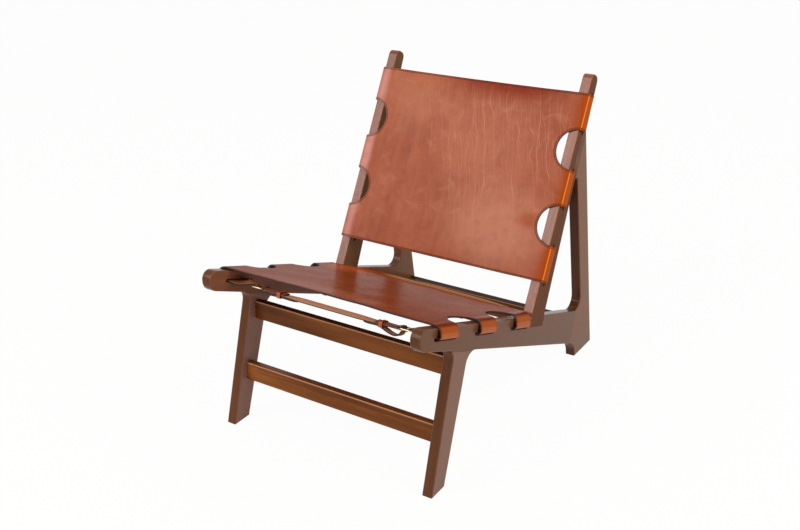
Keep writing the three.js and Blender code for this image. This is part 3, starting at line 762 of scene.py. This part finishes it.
def wrinkleMask(flat, moved, wrinkles):
    leaning = addNode(moved.id_data, "ShaderNodeMapping", {
        "Vector": moved,
        "Rotation": (0, 0, -math.radians(wrinkles["leanDegrees"])),
    }).outputs[0]
    first, *others = wrinkles["lines"]
    lines = creases(leaning, first)
    for more in others:
        lines = maths("MAXIMUM", lines, creases(leaning, more))
    return maths("MULTIPLY", lines, patchMask(flat, wrinkles["zone"]))


def cloudedColour(look, moved, mottle):
    broad = clouds(moved, **hideGrain["broad"])
    blotches = clouds(moved, **hideGrain["blotches"])
    speckle = clouds(moved, **hideGrain["speckle"])
    brushed = clouds(stretched(moved, look["brush"]), **hideGrain["brushed"])
    colour = mixed(ranged(broad, 0.34, 0.66), look["dark"], look["base"])
    return layered(colour, (
        (ranged(mottle, 0.40, 0.70, 0, look["mottle"]), look["light"]),
        (ranged(blotches, 0.50, 0.72, 0, look["blotch"]), look["blotchPale"]),
        (ranged(blotches, 0.48, 0.28, 0, look["blotch"]), look["blotchDeep"]),
        (ranged(brushed, 0.42, 0.66, 0, look["brushShare"]), look["light"]),
        (ranged(speckle, 0.52, 0.70, 0, hideGrain["speckleShare"]), look["dark"]),
    ))


# Painted light and shade in bands across the tab rolls, fainter on the left side (leftShare), where the
# light falls differently
def paintTabLight(look, placed, colour):
    lightBySide = ranged(placed["X"], *hideGrain["leftFades"], look["leftShare"], 1)
    across = maths("ABSOLUTE", placed["X"])
    for low, high, share, tone in look["tabLightBands"]:
        tab = maths("MULTIPLY", lightBySide, ranged(across, low, high, 0, share))
        colour = mixed(tab, colour, tone)
    return colour


def marginColour(look, colour):
    edge = addNode(colour.id_data, "ShaderNodeAttribute", attribute_name="edgeDistance").outputs["Fac"]
    fromGroove = maths("ABSOLUTE", maths("SUBTRACT", edge, look["groove"]))
    return layered(colour, (
        (ranged(edge, *hideGrain["burnishFades"], look["burnish"], 0), look["edge"]),
        (ranged(fromGroove, *hideGrain["grooveFades"], hideGrain["grooveShare"], 0), look["edge"]),
    ))


# Pale bands along the seat's rear edge are painted highlights of its rounded edge; the dark bands between
# them are crease lines
def paintHemHighlights(look, placed, colour):
    length = slings["seat"]["length"]
    across = maths("ABSOLUTE", placed["X"])
    for start, full, tone in look["hemLinesAndHighlights"]:
        hemLinesAndHighlights = ranged(placed["Y"], length - start, length - full)
        grown = ranged(placed["X"], *hideGrain["hemGrows"], 0, hideGrain["hemShare"])
        hemLinesAndHighlights = maths("MULTIPLY", maths("MULTIPLY", hemLinesAndHighlights, grown),
                    ranged(across, *hideGrain["hemFades"], 1, 0))
        colour = mixed(hemLinesAndHighlights, colour, tone)
    return colour


def leatherMaterial(name, look):
    material, tree, shader = newMaterial(name, Specular_IOR_Level=look["gloss"])
    flat = addNode(tree, "ShaderNodeUVMap", uv_map="flat").outputs[0]
    placed = axesOf(flat)
    moved = vectors("ADD", flat, look["offset"])
    mottle = clouds(moved, **hideGrain["mottle"])
    colour = cloudedColour(look, moved, mottle)
    pebbles = addNode(tree, "ShaderNodeTexVoronoi", {"Vector": moved, "Scale": hideGrain["pebbles"]})
    normal = bumped(pebbles.outputs["Distance"], **hideGrain["pebbleBump"])
    if look["wrinkles"]:
        wrinkle = wrinkleMask(flat, moved, look["wrinkles"])
        colour = mixed(wrinkle, colour, look["pale"])
        normal = bumped(wrinkle, look["wrinkles"]["depth"], hideGrain["wrinkleHeight"], normal)
    for patch in look["patchesAndPaintedLight"]:
        uneven = ranged(mottle, *hideGrain["patchUneven"])
        share = maths("MULTIPLY", patchMask(flat, patch), uneven)
        colour = mixed(share, colour, patch.get("colour", look["deep"]))
    colour = paintTabLight(look, placed, colour)
    colour = marginColour(look, colour)
    colour = paintHemHighlights(look, placed, colour)
    normal = bumped(clouds(moved, **hideGrain["dents"]), **hideGrain["dentBump"], normal=normal)
    gloss = ranged(placed["X"], *hideGrain["tabGlossGrows"], look["gloss"], look["tabGloss"])
    plugIn(shader, Base_Color=colour, Specular_IOR_Level=gloss, Normal=normal,
           Roughness=ranged(mottle, 0.3, 0.7, *look["roughness"]))
    return material


def plainLeather(name, colours, scale, roughness, bumpDepth, gloss=0.35, bumpStrength=0.4):
    material, tree, shader = newMaterial(name, Specular_IOR_Level=gloss)
    fuzz = clouds(objectPlace(tree), scale, detail=4, roughness=0.65)
    plugIn(shader, Base_Color=mixed(ranged(fuzz, 0.35, 0.65), *colours),
           Roughness=ranged(fuzz, 0.3, 0.7, *roughness),
           Normal=bumped(fuzz, bumpStrength, bumpDepth))
    return material


cutEdge = plainLeather("leather_cut_edge", (linear(22, 10, 7), linear(44, 20, 12)),
                       scale=900, roughness=(0.5, 0.7), bumpDepth=0.0003)
fleshSide = plainLeather("leather_flesh_side", (linear(168, 112, 76), linear(196, 138, 98)),
                         scale=700, roughness=(0.8, 0.95), bumpDepth=0.0005)
saddleLook = {
    "base": linear(163, 82, 49),
    "dark": linear(149, 70, 40),
    "light": linear(175, 96, 65),
    "pale": linear(220, 154, 126),
    "deep": linear(158, 66, 16),
    "tabLightBands": (),
    "tabGloss": 0.04,
    "leftShare": 0.3,
    "hemLinesAndHighlights": (),
    "edge": linear(96, 38, 14),
    "groove": 0.0046,
    "mottle": 0.4,
    "blotch": 0.5,
    "blotchPale": linear(186, 114, 86),
    "blotchDeep": linear(137, 59, 31),
    "brush": (60, 5, 1),
    "brushShare": 0.4,
    "burnish": 0.6,
    "gloss": 0.36,
    "roughness": (0.40, 0.50),
    "wrinkles": None,
    "patchesAndPaintedLight": (),
}
seatLook = {
    **saddleLook,
    "base": linear(134, 60, 29),
    "dark": linear(122, 51, 22),
    "light": linear(146, 74, 42),
    "mottle": 0.25,
    "blotch": 0.3,
    "blotchPale": linear(146, 74, 42),
    "blotchDeep": linear(110, 42, 14),
    "brush": (8, 70, 1),
    "brushShare": 0.22,
    "gloss": 0.006,
    "roughness": (0.21, 0.27),
    "offset": (3.1, 1.7, 0.4),
    # Across the seat's tab rolls: painted shade where the seat starts to roll, a painted highlight at the
    # bend and painted sheen low on the flap
    "tabLightBands": (  # from, full at, share, colour
        (0.240, 0.282, 0.95, linear(112, 36, 4)),
        (0.288, 0.294, 0.95, linear(164, 74, 4)),
        (0.299, 0.304, 0.85, linear(172, 94, 54)),
    ),
    # Along the seat's rear edge: pale painted highlights between darker crease lines
    "hemLinesAndHighlights": (
        (0.0060, 0.0056, linear(200, 152, 108)),
        (0.0042, 0.0038, linear(66, 30, 14)),
        (0.0024, 0.0020, linear(188, 136, 94)),
        (0.0010, 0.0006, linear(58, 26, 12)),
    ),
    "patchesAndPaintedLight": (
        {"at": (-0.21, 0.40, 0), "reach": (0.10, 0.10), "strength": 0.8, "colour": linear(182, 88, 40)},
        # A paler band along the front is painted sheen
        {"at": (-0.02, 0.03, 0), "reach": (0.22, 0.07), "strength": 0.35, "colour": linear(168, 108, 84)},
    ),
}
backWrinkles = {
    "leanDegrees": 15,
    "lines": (
        {"perMetre": 40, "sway": 3, "bend": (9, 3.5, 1), "breaks": (18, 4, 1), "width": 0.05, "share": 0.9},
        {"perMetre": 66, "sway": 4, "bend": (13, 5, 1), "breaks": (26, 7, 1), "width": 0.06, "share": 0.7},
        {"perMetre": 104, "sway": 5, "bend": (17, 8, 1), "breaks": (34, 10, 1), "width": 0.08, "share": 0.5},
    ),
    "depth": 0.4,
    "zone": {"at": (0.11, 0.31, 0), "reach": (0.33, 0.35), "strength": 0.72},
}
backLook = {
    **saddleLook,
    "gloss": 0.15,
    "offset": (0.3, 0.9, 2.2),
    "leftShare": 0.05,
    # Painted light on the back's bends: deeper orange, with a painted highlight line along the crease
    "tabLightBands": (
        (0.282, 0.288, 0.95, linear(172, 68, 2)),
        (0.2910, 0.2918, 0.9, linear(232, 146, 80)),
        (0.2928, 0.2936, 0.95, linear(176, 74, 6)),
    ),
    "wrinkles": backWrinkles,
    "patchesAndPaintedLight": (
        # Paler patches in the lower right and middle are painted sheen
        {"at": (0.14, 0.10, 0), "reach": (0.20, 0.16), "strength": 0.6, "colour": linear(206, 136, 106)},
        {"at": (0.06, 0.30, 0), "reach": (0.20, 0.20), "strength": 0.35, "colour": linear(196, 124, 92)},
        # A pale pink band along the left edge is painted sheen on the left bend
        {"at": (-0.277, 0.236, 0), "reach": (0.021, 0.60), "strength": 0.9, "colour": linear(206, 142, 130)},
        {"at": (-0.17, 0.39, 0), "reach": (0.17, 0.14), "strength": 0.25, "colour": linear(196, 130, 98)},
        # A dark band along the top is painted shade where the top edge curls back
        {"at": (0.09, 0.472, 0), "reach": (0.26, 0.080), "strength": 1.0, "colour": linear(126, 30, 0)},
        {"at": (-0.03, -0.01, 0), "reach": (0.16, 0.06), "strength": 0.2},
        {"at": (0.225, 0.137, 0), "reach": (0.05, 0.03), "strength": 0.8},
        {"at": (0.29, 0.42, 0), "reach": (0.06, 0.09), "strength": 0.7},
        {"at": (0.29, 0.229, 0), "reach": (0.05, 0.07), "strength": 0.6},
        {"at": (0.30, 0.03, 0), "reach": (0.06, 0.08), "strength": 0.7},
    ),
}
leathers = {
    "seat": leatherMaterial("leather_seat", seatLook),
    "back": leatherMaterial("leather_back", backLook),
}
print("leathers mixed")


# Slings: a panel and six tabs cut as one hide
slingGrid = {
    "panelColumns": 64,
    "tabRows": 14,
    "hemRows": (0.0085, 0.0068, 0.0051, 0.0034, 0.0017, 0),
    "cutoutSteps": 14,
    "spacing": 0.005,
    "stepDegrees": 12,
    "arcSpare": 0.0005,
    "holeSpare": 0.0004,
    "mergeBelow": 2e-6,
    "edgeRound": 0.0007,
}
billetHole = {"length": 0.0190, "width": 0.0052}


def tabStations(path):
    steps = slingGrid["cutoutSteps"]
    arc = [cutoutCentre - cutoutRadius * math.cos(math.pi / 2 * k / steps) for k in range(steps + 1)]
    holeEnds = [path.crossing - billetHole["length"] / 2, path.crossing + billetHole["length"] / 2]
    run = []
    for s in path.stations(slingGrid["spacing"], slingGrid["stepDegrees"]):
        fromHole = min(abs(s - end) for end in holeEnds)
        if s > cutoutCentre + slingGrid["arcSpare"] and fromHole > slingGrid["holeSpare"]:
            run.append(s)
    return arc + sorted(run + holeEnds)


def cutHide(sling):
    length = sling["length"]
    stations = tabStations(sling["path"])
    mirrored = [-s for s in reversed(stations)]
    joins = [0] + [(k + 1) * sling["pitch"] - cutoutRadius for k in range(tabCount - 1)] + [length]
    tabShares = [evenly(0, 1, slingGrid["tabRows"]) for k in range(tabCount)]
    tabShares[-1][-1:] = [1 - back / (joins[-1] - joins[-2]) for back in slingGrid["hemRows"]]
    shares = []
    for low, high, rows in zip(joins, joins[1:], tabShares):
        shares += [(low + (high - low) * share) / length for share in rows[:-1]]
    columns = evenly(-cutoutStart, cutoutStart, slingGrid["panelColumns"])
    bm = bmesh.new()
    patternGrid(bm, columns, shares + [1], lambda s: (0, length))
    for k, rows in enumerate(tabShares):
        patternGrid(bm, stations, rows, lambda s: tabBounds(sling, k, s))
        patternGrid(bm, mirrored, rows, lambda s: tabBounds(sling, k, -s))
    bmesh.ops.remove_doubles(bm, verts=bm.verts, dist=slingGrid["mergeBelow"])
    return bm


def punchBillets(bm, sling):
    punched = []
    for face in bm.faces:
        middle = face.calc_center_median()
        along = min(abs(middle.y - tabCentre(sling, k)) for k in range(tabCount))
        across = abs(abs(middle.x) - sling["path"].crossing)
        if across < billetHole["length"] / 2 and along < billetHole["width"] / 2:
            punched.append(face)
    bmesh.ops.delete(bm, geom=punched, context="FACES")


for slingName, sling in slings.items():
    bm = cutHide(sling)
    flatArea = sum(face.calc_area() for face in bm.faces)
    punchBillets(bm, sling)
    keepPattern(bm)
    for vert in bm.verts:
        vert.co = slingPoint(sling, vert.co.x, vert.co.y)
    finishes = (leathers[slingName], cutEdge, fleshSide)
    piece = meshPiece(slingName + "_hide", bm, finishes, "chair")
    thicken(piece, leatherThickness, slingGrid["edgeRound"])
    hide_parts(slingName + "_sling")
    print(slingName, "sling cut:", round(flatArea, 4), "square metres")


# Stitches: a row of short threads inside the back's cut edge
threadLook = {
    "length": 0.0044,
    "pitch": 0.0062,
    "radius": 0.0011,
    "flatness": 0.7,
    "inset": 0.0046,
    "beforeSlot": 0.004,
    "pastArc": 0.001,
    "edgeSteps": 90,
    "arcSteps": 40,
    "endSteps": 6,
}
threadMaterial = plainLeather("waxed_thread", (linear(22, 10, 6), linear(40, 18, 10)),
                              scale=1500, roughness=(0.5, 0.7), bumpDepth=0.0002)


# Where each thread of a row has its middle, and which way it lies
def threadSpots(line):
    reach = [0.0]
    for first, last in zip(line, line[1:]):
        reach.append(reach[-1] + (last - first).length)
    count = max(1, round(reach[-1] / threadLook["pitch"]))
    spots = []
    for k in range(count):
        target = reach[-1] * (k + 0.5) / count
        index = next(i for i in range(1, len(reach)) if reach[i] >= target - tiny)
        first, last = line[index - 1], line[index]
        share = (target - reach[index - 1]) / (reach[index] - reach[index - 1])
        spots.append((first.lerp(last, share), (last - first).normalized()))
    return spots


def stitchRow(bm, sling, line):
    length, radius = threadLook["length"], threadLook["radius"]
    size = Matrix.Diagonal((length / 2, radius, radius * threadLook["flatness"], 1))
    for spot, heading in threadSpots(line):
        normal = slingNormal(sling, spot.x, spot.y)
        half = heading * length / 2
        start = slingPoint(sling, *(spot - half)) + normal * leatherThickness
        end = slingPoint(sling, *(spot + half)) + normal * leatherThickness
        tangent = (end - start).normalized()
        turn = Matrix((tangent, normal.cross(tangent), normal)).transposed().to_4x4()
        place = Matrix.Translation((start + end) / 2) @ turn @ size
        bmesh.ops.create_icosphere(bm, subdivisions=1, radius=1, matrix=place)


def stitchLines(sling):
    inset = threadLook["inset"]
    stop = sling["path"].slotStart - threadLook["beforeSlot"]
    arcEnd = cutoutCentre + threadLook["pastArc"]
    radius = cutoutRadius + inset
    angles = evenly(-math.pi / 2, math.pi / 2, threadLook["arcSteps"])
    lines = []
    for v in (inset, sling["length"] - inset):
        lines.append([Vector((s, v)) for s in evenly(-stop, stop, threadLook["edgeSteps"])])
    for k in range(tabCount - 1):
        centre = Vector((cutoutCentre, tabCentre(sling, k) + sling["pitch"] / 2))
        lower = [Vector((s, centre.y - radius)) for s in evenly(stop, arcEnd, threadLook["endSteps"])]
        arc = [centre + Vector((-math.cos(angle), math.sin(angle))) * radius for angle in angles]
        upper = [Vector((s, centre.y + radius)) for s in evenly(arcEnd, stop, threadLook["endSteps"])]
        line = lower + arc + upper
        lines.append(line)
        lines.append([Vector((-point.x, point.y)) for point in line])
    return lines


bm = bmesh.new()
for line in stitchLines(slings["back"]):
    stitchRow(bm, slings["back"], line)
meshPiece("back_stitches", bm, (threadMaterial,), "chair")
print("stitches sewn")


# Straps: a band folded back round both heel bars
strapGrid = {
    "rows": 8,
    "spacing": 0.006,
    "stepDegrees": 15,
    "foldLength": 0.066,
    "foldRise": 0.014,
    "slotReach": 0.003,
    "edgeRound": 0.0005,
}
strapLook = {
    **saddleLook,
    "base": linear(190, 120, 88),
    "dark": linear(172, 100, 68),
    "light": linear(206, 142, 112),
    "burnish": 0.85,
    "groove": 0.0024,
    "offset": (1.3, 4.1, 0.2),
}
strapLeather = leatherMaterial("leather_strap", strapLook)
# The straps' flesh side is a paler copy of the slings': the extra paleness is painted sheen and light on the
# straps' tilted tops
strapFleshSheen = plainLeather("leather_strap_flesh_sheen", (linear(198, 148, 112), linear(222, 174, 140)),
                          scale=700, roughness=(0.6, 0.8), bumpDepth=0.0004)
strapEdge = plainLeather("leather_strap_edge", (linear(46, 22, 14), linear(72, 38, 24)),
                         scale=900, roughness=(0.5, 0.7), bumpDepth=0.0003)
keeperLeather = plainLeather("leather_keeper", (linear(150, 68, 36), linear(172, 84, 46)),
                             scale=160, roughness=(0.35, 0.5), bumpDepth=0.0003)


def strapPath(sling):
    foldLevel = sling["level"] - barRing + seamGap
    rise = sling["level"] + barRing - foldLevel
    slope = math.atan2(rise, strapGrid["foldRise"])
    curve = strapGrid["foldRise"] / 2 / math.sin(2 * slope)
    turn = math.degrees(2 * slope)
    lap = strapGrid["foldLength"] - strapGrid["foldRise"] - barRing
    path = SectionPath(heelBarX - strapGrid["foldLength"], foldLevel)
    path.straight(lap).bend(-turn, curve).bend(turn, curve).straight(barRing)
    path.bend(180, barRing).straight(2 * heelBarX).bend(180, barRing)
    path.straight(barRing).bend(turn, curve).bend(-turn, curve).straight(lap)
    return path


def foldStrap(sling, k, name):
    path = strapPath(sling)
    stations = path.stations(strapGrid["spacing"], strapGrid["stepDegrees"])
    slotStart = heelBarX - barRing - strapGrid["slotReach"]
    bm = bmesh.new()
    patternGrid(bm, stations, evenly(0, 1, strapGrid["rows"]), lambda s: (-strapWidth / 2, strapWidth / 2))
    slotted = []
    for face in bm.faces:
        middle = face.calc_center_median()
        if abs(path.at(middle.x).x) > slotStart and abs(middle.y) < strapWidth / strapGrid["rows"]:
            slotted.append(face)
    bmesh.ops.delete(bm, geom=slotted, context="FACES")
    keepPattern(bm)
    for vert in bm.verts:
        place = path.at(vert.co.x)
        vert.co = rolled(sling, k, Vector((place.x, tabCentre(sling, k) + vert.co.y, place.y)))
    finishes = (strapLeather, strapEdge, strapFleshSheen)
    piece = meshPiece(name + "_band", bm, finishes, "chair")
    thicken(piece, strapThickness, strapGrid["edgeRound"])
    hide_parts(name)


for sling in slings.values():
    for k, setName in enumerate(sling["sets"]):
        foldStrap(sling, k, setName + "_strap")
print("straps folded")


# Brass: a cast finish with fine scratches and a little tarnish
brassLook = {
    "colours": (linear(242, 226, 184), linear(204, 174, 122)),
    "tarnish": {"scale": 160, "detail": 4, "roughness": 0.6},
    "scratches": {"scale": 2600, "detail": 2},
    "scratchRun": (1, 0.1, 0.1),
    "roughness": (0.2, 0.38),
    "bump": {"strength": 0.08, "distance": 0.0002},
}


def brassMaterial(look):
    material, tree, shader = newMaterial("brass", Metallic=1.0)
    place = objectPlace(tree)
    tarnish = clouds(place, **look["tarnish"])
    scratches = clouds(stretched(place, look["scratchRun"]), **look["scratches"])
    plugIn(shader, Base_Color=mixed(ranged(tarnish, 0.4, 0.7), *look["colours"]),
           Roughness=ranged(scratches, 0.3, 0.7, *look["roughness"]),
           Normal=bumped(scratches, **look["bump"]))
    return material


brass = brassMaterial(brassLook)


def onlyEdges(geometry):
    return [item for item in geometry if isinstance(item, bmesh.types.BMEdge)]


def onlyVerts(geometry):
    return [item for item in geometry if isinstance(item, bmesh.types.BMVert)]


def edgesOf(verts):
    return list({edge for vert in verts for edge in vert.link_edges})


def extruded(bm, edges):
    grown = bmesh.ops.extrude_edge_only(bm, edges=edges)["geom"]
    verts = onlyVerts(grown)
    fresh = set(verts)
    return [edge for edge in onlyEdges(grown) if set(edge.verts) <= fresh], verts


# A section carried round a rounded rectangle in the XY plane: straight runs and spun corners
def carriedRound(bm, edges, width, height, corner, cornerSteps):
    for k in range(4):
        run = (width if k % 2 == 0 else height) - 2 * corner
        heading = Matrix.Rotation(math.pi / 2 * k, 3, "Z") @ Vector((1, 0, 0))
        edges, verts = extruded(bm, edges)
        bmesh.ops.translate(bm, verts=verts, vec=heading * run)
        inward = Vector((-heading.y, heading.x, 0))
        pivot = Vector((heading.x * (width / 2 - corner), heading.y * (height / 2 - corner), 0))
        pivot -= Vector((inward.x * (width / 2 - corner), inward.y * (height / 2 - corner), 0))
        spun = bmesh.ops.spin(bm, geom=edges + verts, cent=pivot, axis=(0, 0, 1), dvec=(0, 0, 0),
                              angle=math.pi / 2, steps=cornerSteps, use_merge=False, use_duplicate=False)
        edges = onlyEdges(spun["geom_last"])
    bmesh.ops.remove_doubles(bm, verts=bm.verts, dist=weld)
    bmesh.ops.recalc_face_normals(bm, faces=bm.faces)


def placeEnd(sling, k, side, x, n):
    turn = Matrix.Rotation(0 if side > 0 else math.pi, 4, "Z")
    middle = sling["matrix"] @ Matrix.Translation((0, tabCentre(sling, k), 0))
    return middle @ turn @ Matrix.Translation((x, 0, n))


# Buckle frames: a round bar bent to a rectangle
buckleSize = {
    "length": 0.026,
    "width": 0.0296,
    "corner": 0.0044,
    "barSides": 12,
    "cornerSteps": 6,
}


def makeBuckle(sling, k, side, name):
    length, width, corner = buckleSize["length"], buckleSize["width"], buckleSize["corner"]
    begin = Matrix.Translation((corner - length / 2, -width / 2, 0)) @ Matrix.Rotation(math.pi / 2, 4, "Y")
    bm = bmesh.new()
    bar = bmesh.ops.create_circle(bm, segments=buckleSize["barSides"], radius=barRadius, matrix=begin)
    carriedRound(bm, edgesOf(bar["verts"]), length, width, corner, buckleSize["cornerSteps"])
    lying = placeEnd(sling, k, side, (frontBarX + heelBarX) / 2, sling["level"])
    bmesh.ops.transform(bm, matrix=lying, verts=bm.verts)
    piece = meshPiece(name + "_frame", bm, (brass,), "chair")
    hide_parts(name)


# Buckle tongues: a tapering pin that ends in a ring round the heel bar
tongueSize = {
    "length": 0.0286,
    "thick": 0.0012,
    "wide": 0.0016,
    "ring": 0.0007,
    "taper": ((0.3, 0.98), (0.7, 0.95), (0.9, 0.85), (0.97, 0.8), (1.0, 0.6)),  # how far out, thinned by
    "pinSides": 12,
    "ringSides": 10,
    "ringSteps": 16,
}


def makeTongue(sling, k, side, name):
    wide, thick, ring = tongueSize["wide"], tongueSize["thick"], tongueSize["ring"]
    lean = math.atan2(-(barRadius + seamGap + thick), frontBarX - heelBarX)
    start = barRing + ring
    begin = Matrix.Translation((start, 0, 0)) @ Matrix.Rotation(math.pi / 2, 4, "Y")
    bm = bmesh.new()
    pin = bmesh.ops.create_circle(bm, segments=tongueSize["pinSides"], radius=1, matrix=begin)["verts"]
    for vert in pin:
        vert.co.y *= wide
        vert.co.z *= thick
    edges = edgesOf(pin)
    bmesh.ops.contextual_create(bm, geom=edges)
    for share, grow in tongueSize["taper"]:
        edges, verts = extruded(bm, edges)
        x = start + (tongueSize["length"] - start) * share
        for vert in verts:
            vert.co = (x, vert.co.y * grow, vert.co.z * grow)
    bmesh.ops.contextual_create(bm, geom=edges)
    eye = bmesh.ops.create_circle(bm, segments=tongueSize["ringSides"], radius=1)["verts"]
    for vert in eye:
        vert.co = (start + vert.co.x * ring, vert.co.y * wide, 0)
    bmesh.ops.spin(bm, geom=edgesOf(eye) + eye, cent=(0, 0, 0), axis=(0, 1, 0), dvec=(0, 0, 0),
                   angle=2 * math.pi, steps=tongueSize["ringSteps"], use_merge=True, use_duplicate=False)
    bmesh.ops.recalc_face_normals(bm, faces=bm.faces)
    lying = placeEnd(sling, k, side, heelBarX, sling["level"]) @ Matrix.Rotation(-lean, 4, "Y")
    bmesh.ops.transform(bm, matrix=lying, verts=bm.verts)
    piece = meshPiece(name + "_pin", bm, (brass,), name)
    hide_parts(name)


# Keepers: a leather band round the strap and the billet's tail
keeperSize = {
    "x": 0.138,
    "band": 0.010,
    "thick": 0.0018,
    "play": 0.0004,
    "corner": 0.0016,
    "bandSteps": 4,
    "cornerSteps": 4,
    "edgeRound": 0.0005,
}


def makeKeeper(sling, k, side, name):
    play, band, corner = keeperSize["play"], keeperSize["band"], keeperSize["corner"]
    top = sling["level"] - barRing + seamGap + strapThickness + play
    bottom = sling["level"] - barRing - strapThickness - seamGap - leatherThickness - play
    width = strapWidth + 2 * play
    height = top - bottom
    bm = bmesh.new()
    line = [bm.verts.new((corner - width / 2, -height / 2, z))
            for z in evenly(-band / 2, band / 2, keeperSize["bandSteps"])]
    edges = [bm.edges.new(pair) for pair in zip(line, line[1:])]
    carriedRound(bm, edges, width, height, corner, keeperSize["cornerSteps"])
    standing = Matrix((Vector((0, 0, 1)), Vector((1, 0, 0)), Vector((0, 1, 0)))).to_4x4()
    place = placeEnd(sling, k, side, keeperSize["x"], (top + bottom) / 2)
    bmesh.ops.transform(bm, matrix=standing, verts=bm.verts)
    bmesh.ops.transform(bm, matrix=place, verts=bm.verts)
    toSling = sling["matrix"].inverted()
    for vert in bm.verts:
        vert.co = rolled(sling, k, toSling @ vert.co)
    piece = meshPiece(name + "_loop", bm, (keeperLeather, strapEdge, fleshSide), "chair")
    thicken(piece, keeperSize["thick"], keeperSize["edgeRound"])
    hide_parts(name)


for sling in slings.values():
    for k, setName in enumerate(sling["sets"]):
        for sideName, side in sides.items():
            makeBuckle(sling, k, side, f"{setName}_buckle_{sideName}")
            makeTongue(sling, k, side, f"{setName}_tongue_{sideName}")
            makeKeeper(sling, k, side, f"{setName}_keeper_{sideName}")
print("buckles set")


# Studio: a pale floor, a white surround and two soft lamps
studio = {
    "floorSize": 30,
    "floorWhite": 0.96,
    "floorColour": (0.92, 0.83, 0.73, 1),
    "surround": 0.5,
    "key": {"place": (-1.75, -2.75, 2.70), "aim": (0, 0.15, 0.5), "size": (2.3, 2.3), "power": 85},
    "fill": {"place": (2.6, 0.3, 2.4), "aim": (0.2, 0, 0.3), "size": (2.0, 2.0), "power": 45},
}


# Rays that meet plain white: the camera's own, mirrored ones and those through clear things
def backgroundSeen(tree):
    path = addNode(tree, "ShaderNodeLightPath")
    seen = maths("MAXIMUM", path.outputs["Is Camera Ray"], path.outputs["Is Transmission Ray"])
    return maths("MAXIMUM", seen, path.outputs["Is Glossy Ray"])


def addFloor():
    bm = bmesh.new()
    bmesh.ops.create_grid(bm, x_segments=4, y_segments=4, size=studio["floorSize"] / 2)
    mesh = bpy.data.meshes.new("studio_floor")
    bm.to_mesh(mesh)
    bm.free()
    material, tree, shader = newMaterial("studio_floor", Roughness=0.9, Base_Color=studio["floorColour"])
    glow = addNode(tree, "ShaderNodeEmission", {"Color": (1, 1, 1, 1), "Strength": 1.0}).outputs[0]
    factor = maths("MULTIPLY", backgroundSeen(tree), studio["floorWhite"])
    blend = addNode(tree, "ShaderNodeMixShader", {0: factor, 1: shader.outputs[0], 2: glow}).outputs[0]
    plugIn(tree.nodes["Material Output"], Surface=blend)
    mesh.materials.append(material)
    floor = bpy.data.objects.new("studio_floor", mesh)
    scene.collection.objects.link(floor)


def addSurround():
    world = bpy.data.worlds.new("studio_surround")
    scene.world = world
    world.use_nodes = True
    tree = world.node_tree
    background = tree.nodes["Background"]
    background.inputs["Color"].default_value = (1, 1, 1, 1)
    strength = addNode(tree, "ShaderNodeMix", {0: backgroundSeen(tree), 2: studio["surround"], 3: 1.0})
    plugIn(background, Strength=strength.outputs[0])


def addLamp(name, lamp):
    data = bpy.data.lights.new(name, "AREA")
    data.shape = "RECTANGLE"
    data.size, data.size_y = lamp["size"]
    data.energy = lamp["power"]
    light = bpy.data.objects.new(name, data)
    place = Vector(lamp["place"])
    turn = (Vector(lamp["aim"]) - place).to_track_quat("-Z", "Y").to_matrix().to_4x4()
    light.matrix_world = Matrix.Translation(place) @ turn
    scene.collection.objects.link(light)


addFloor()
addSurround()
addLamp("key_lamp", studio["key"])
addLamp("fill_lamp", studio["fill"])
print("studio lit")
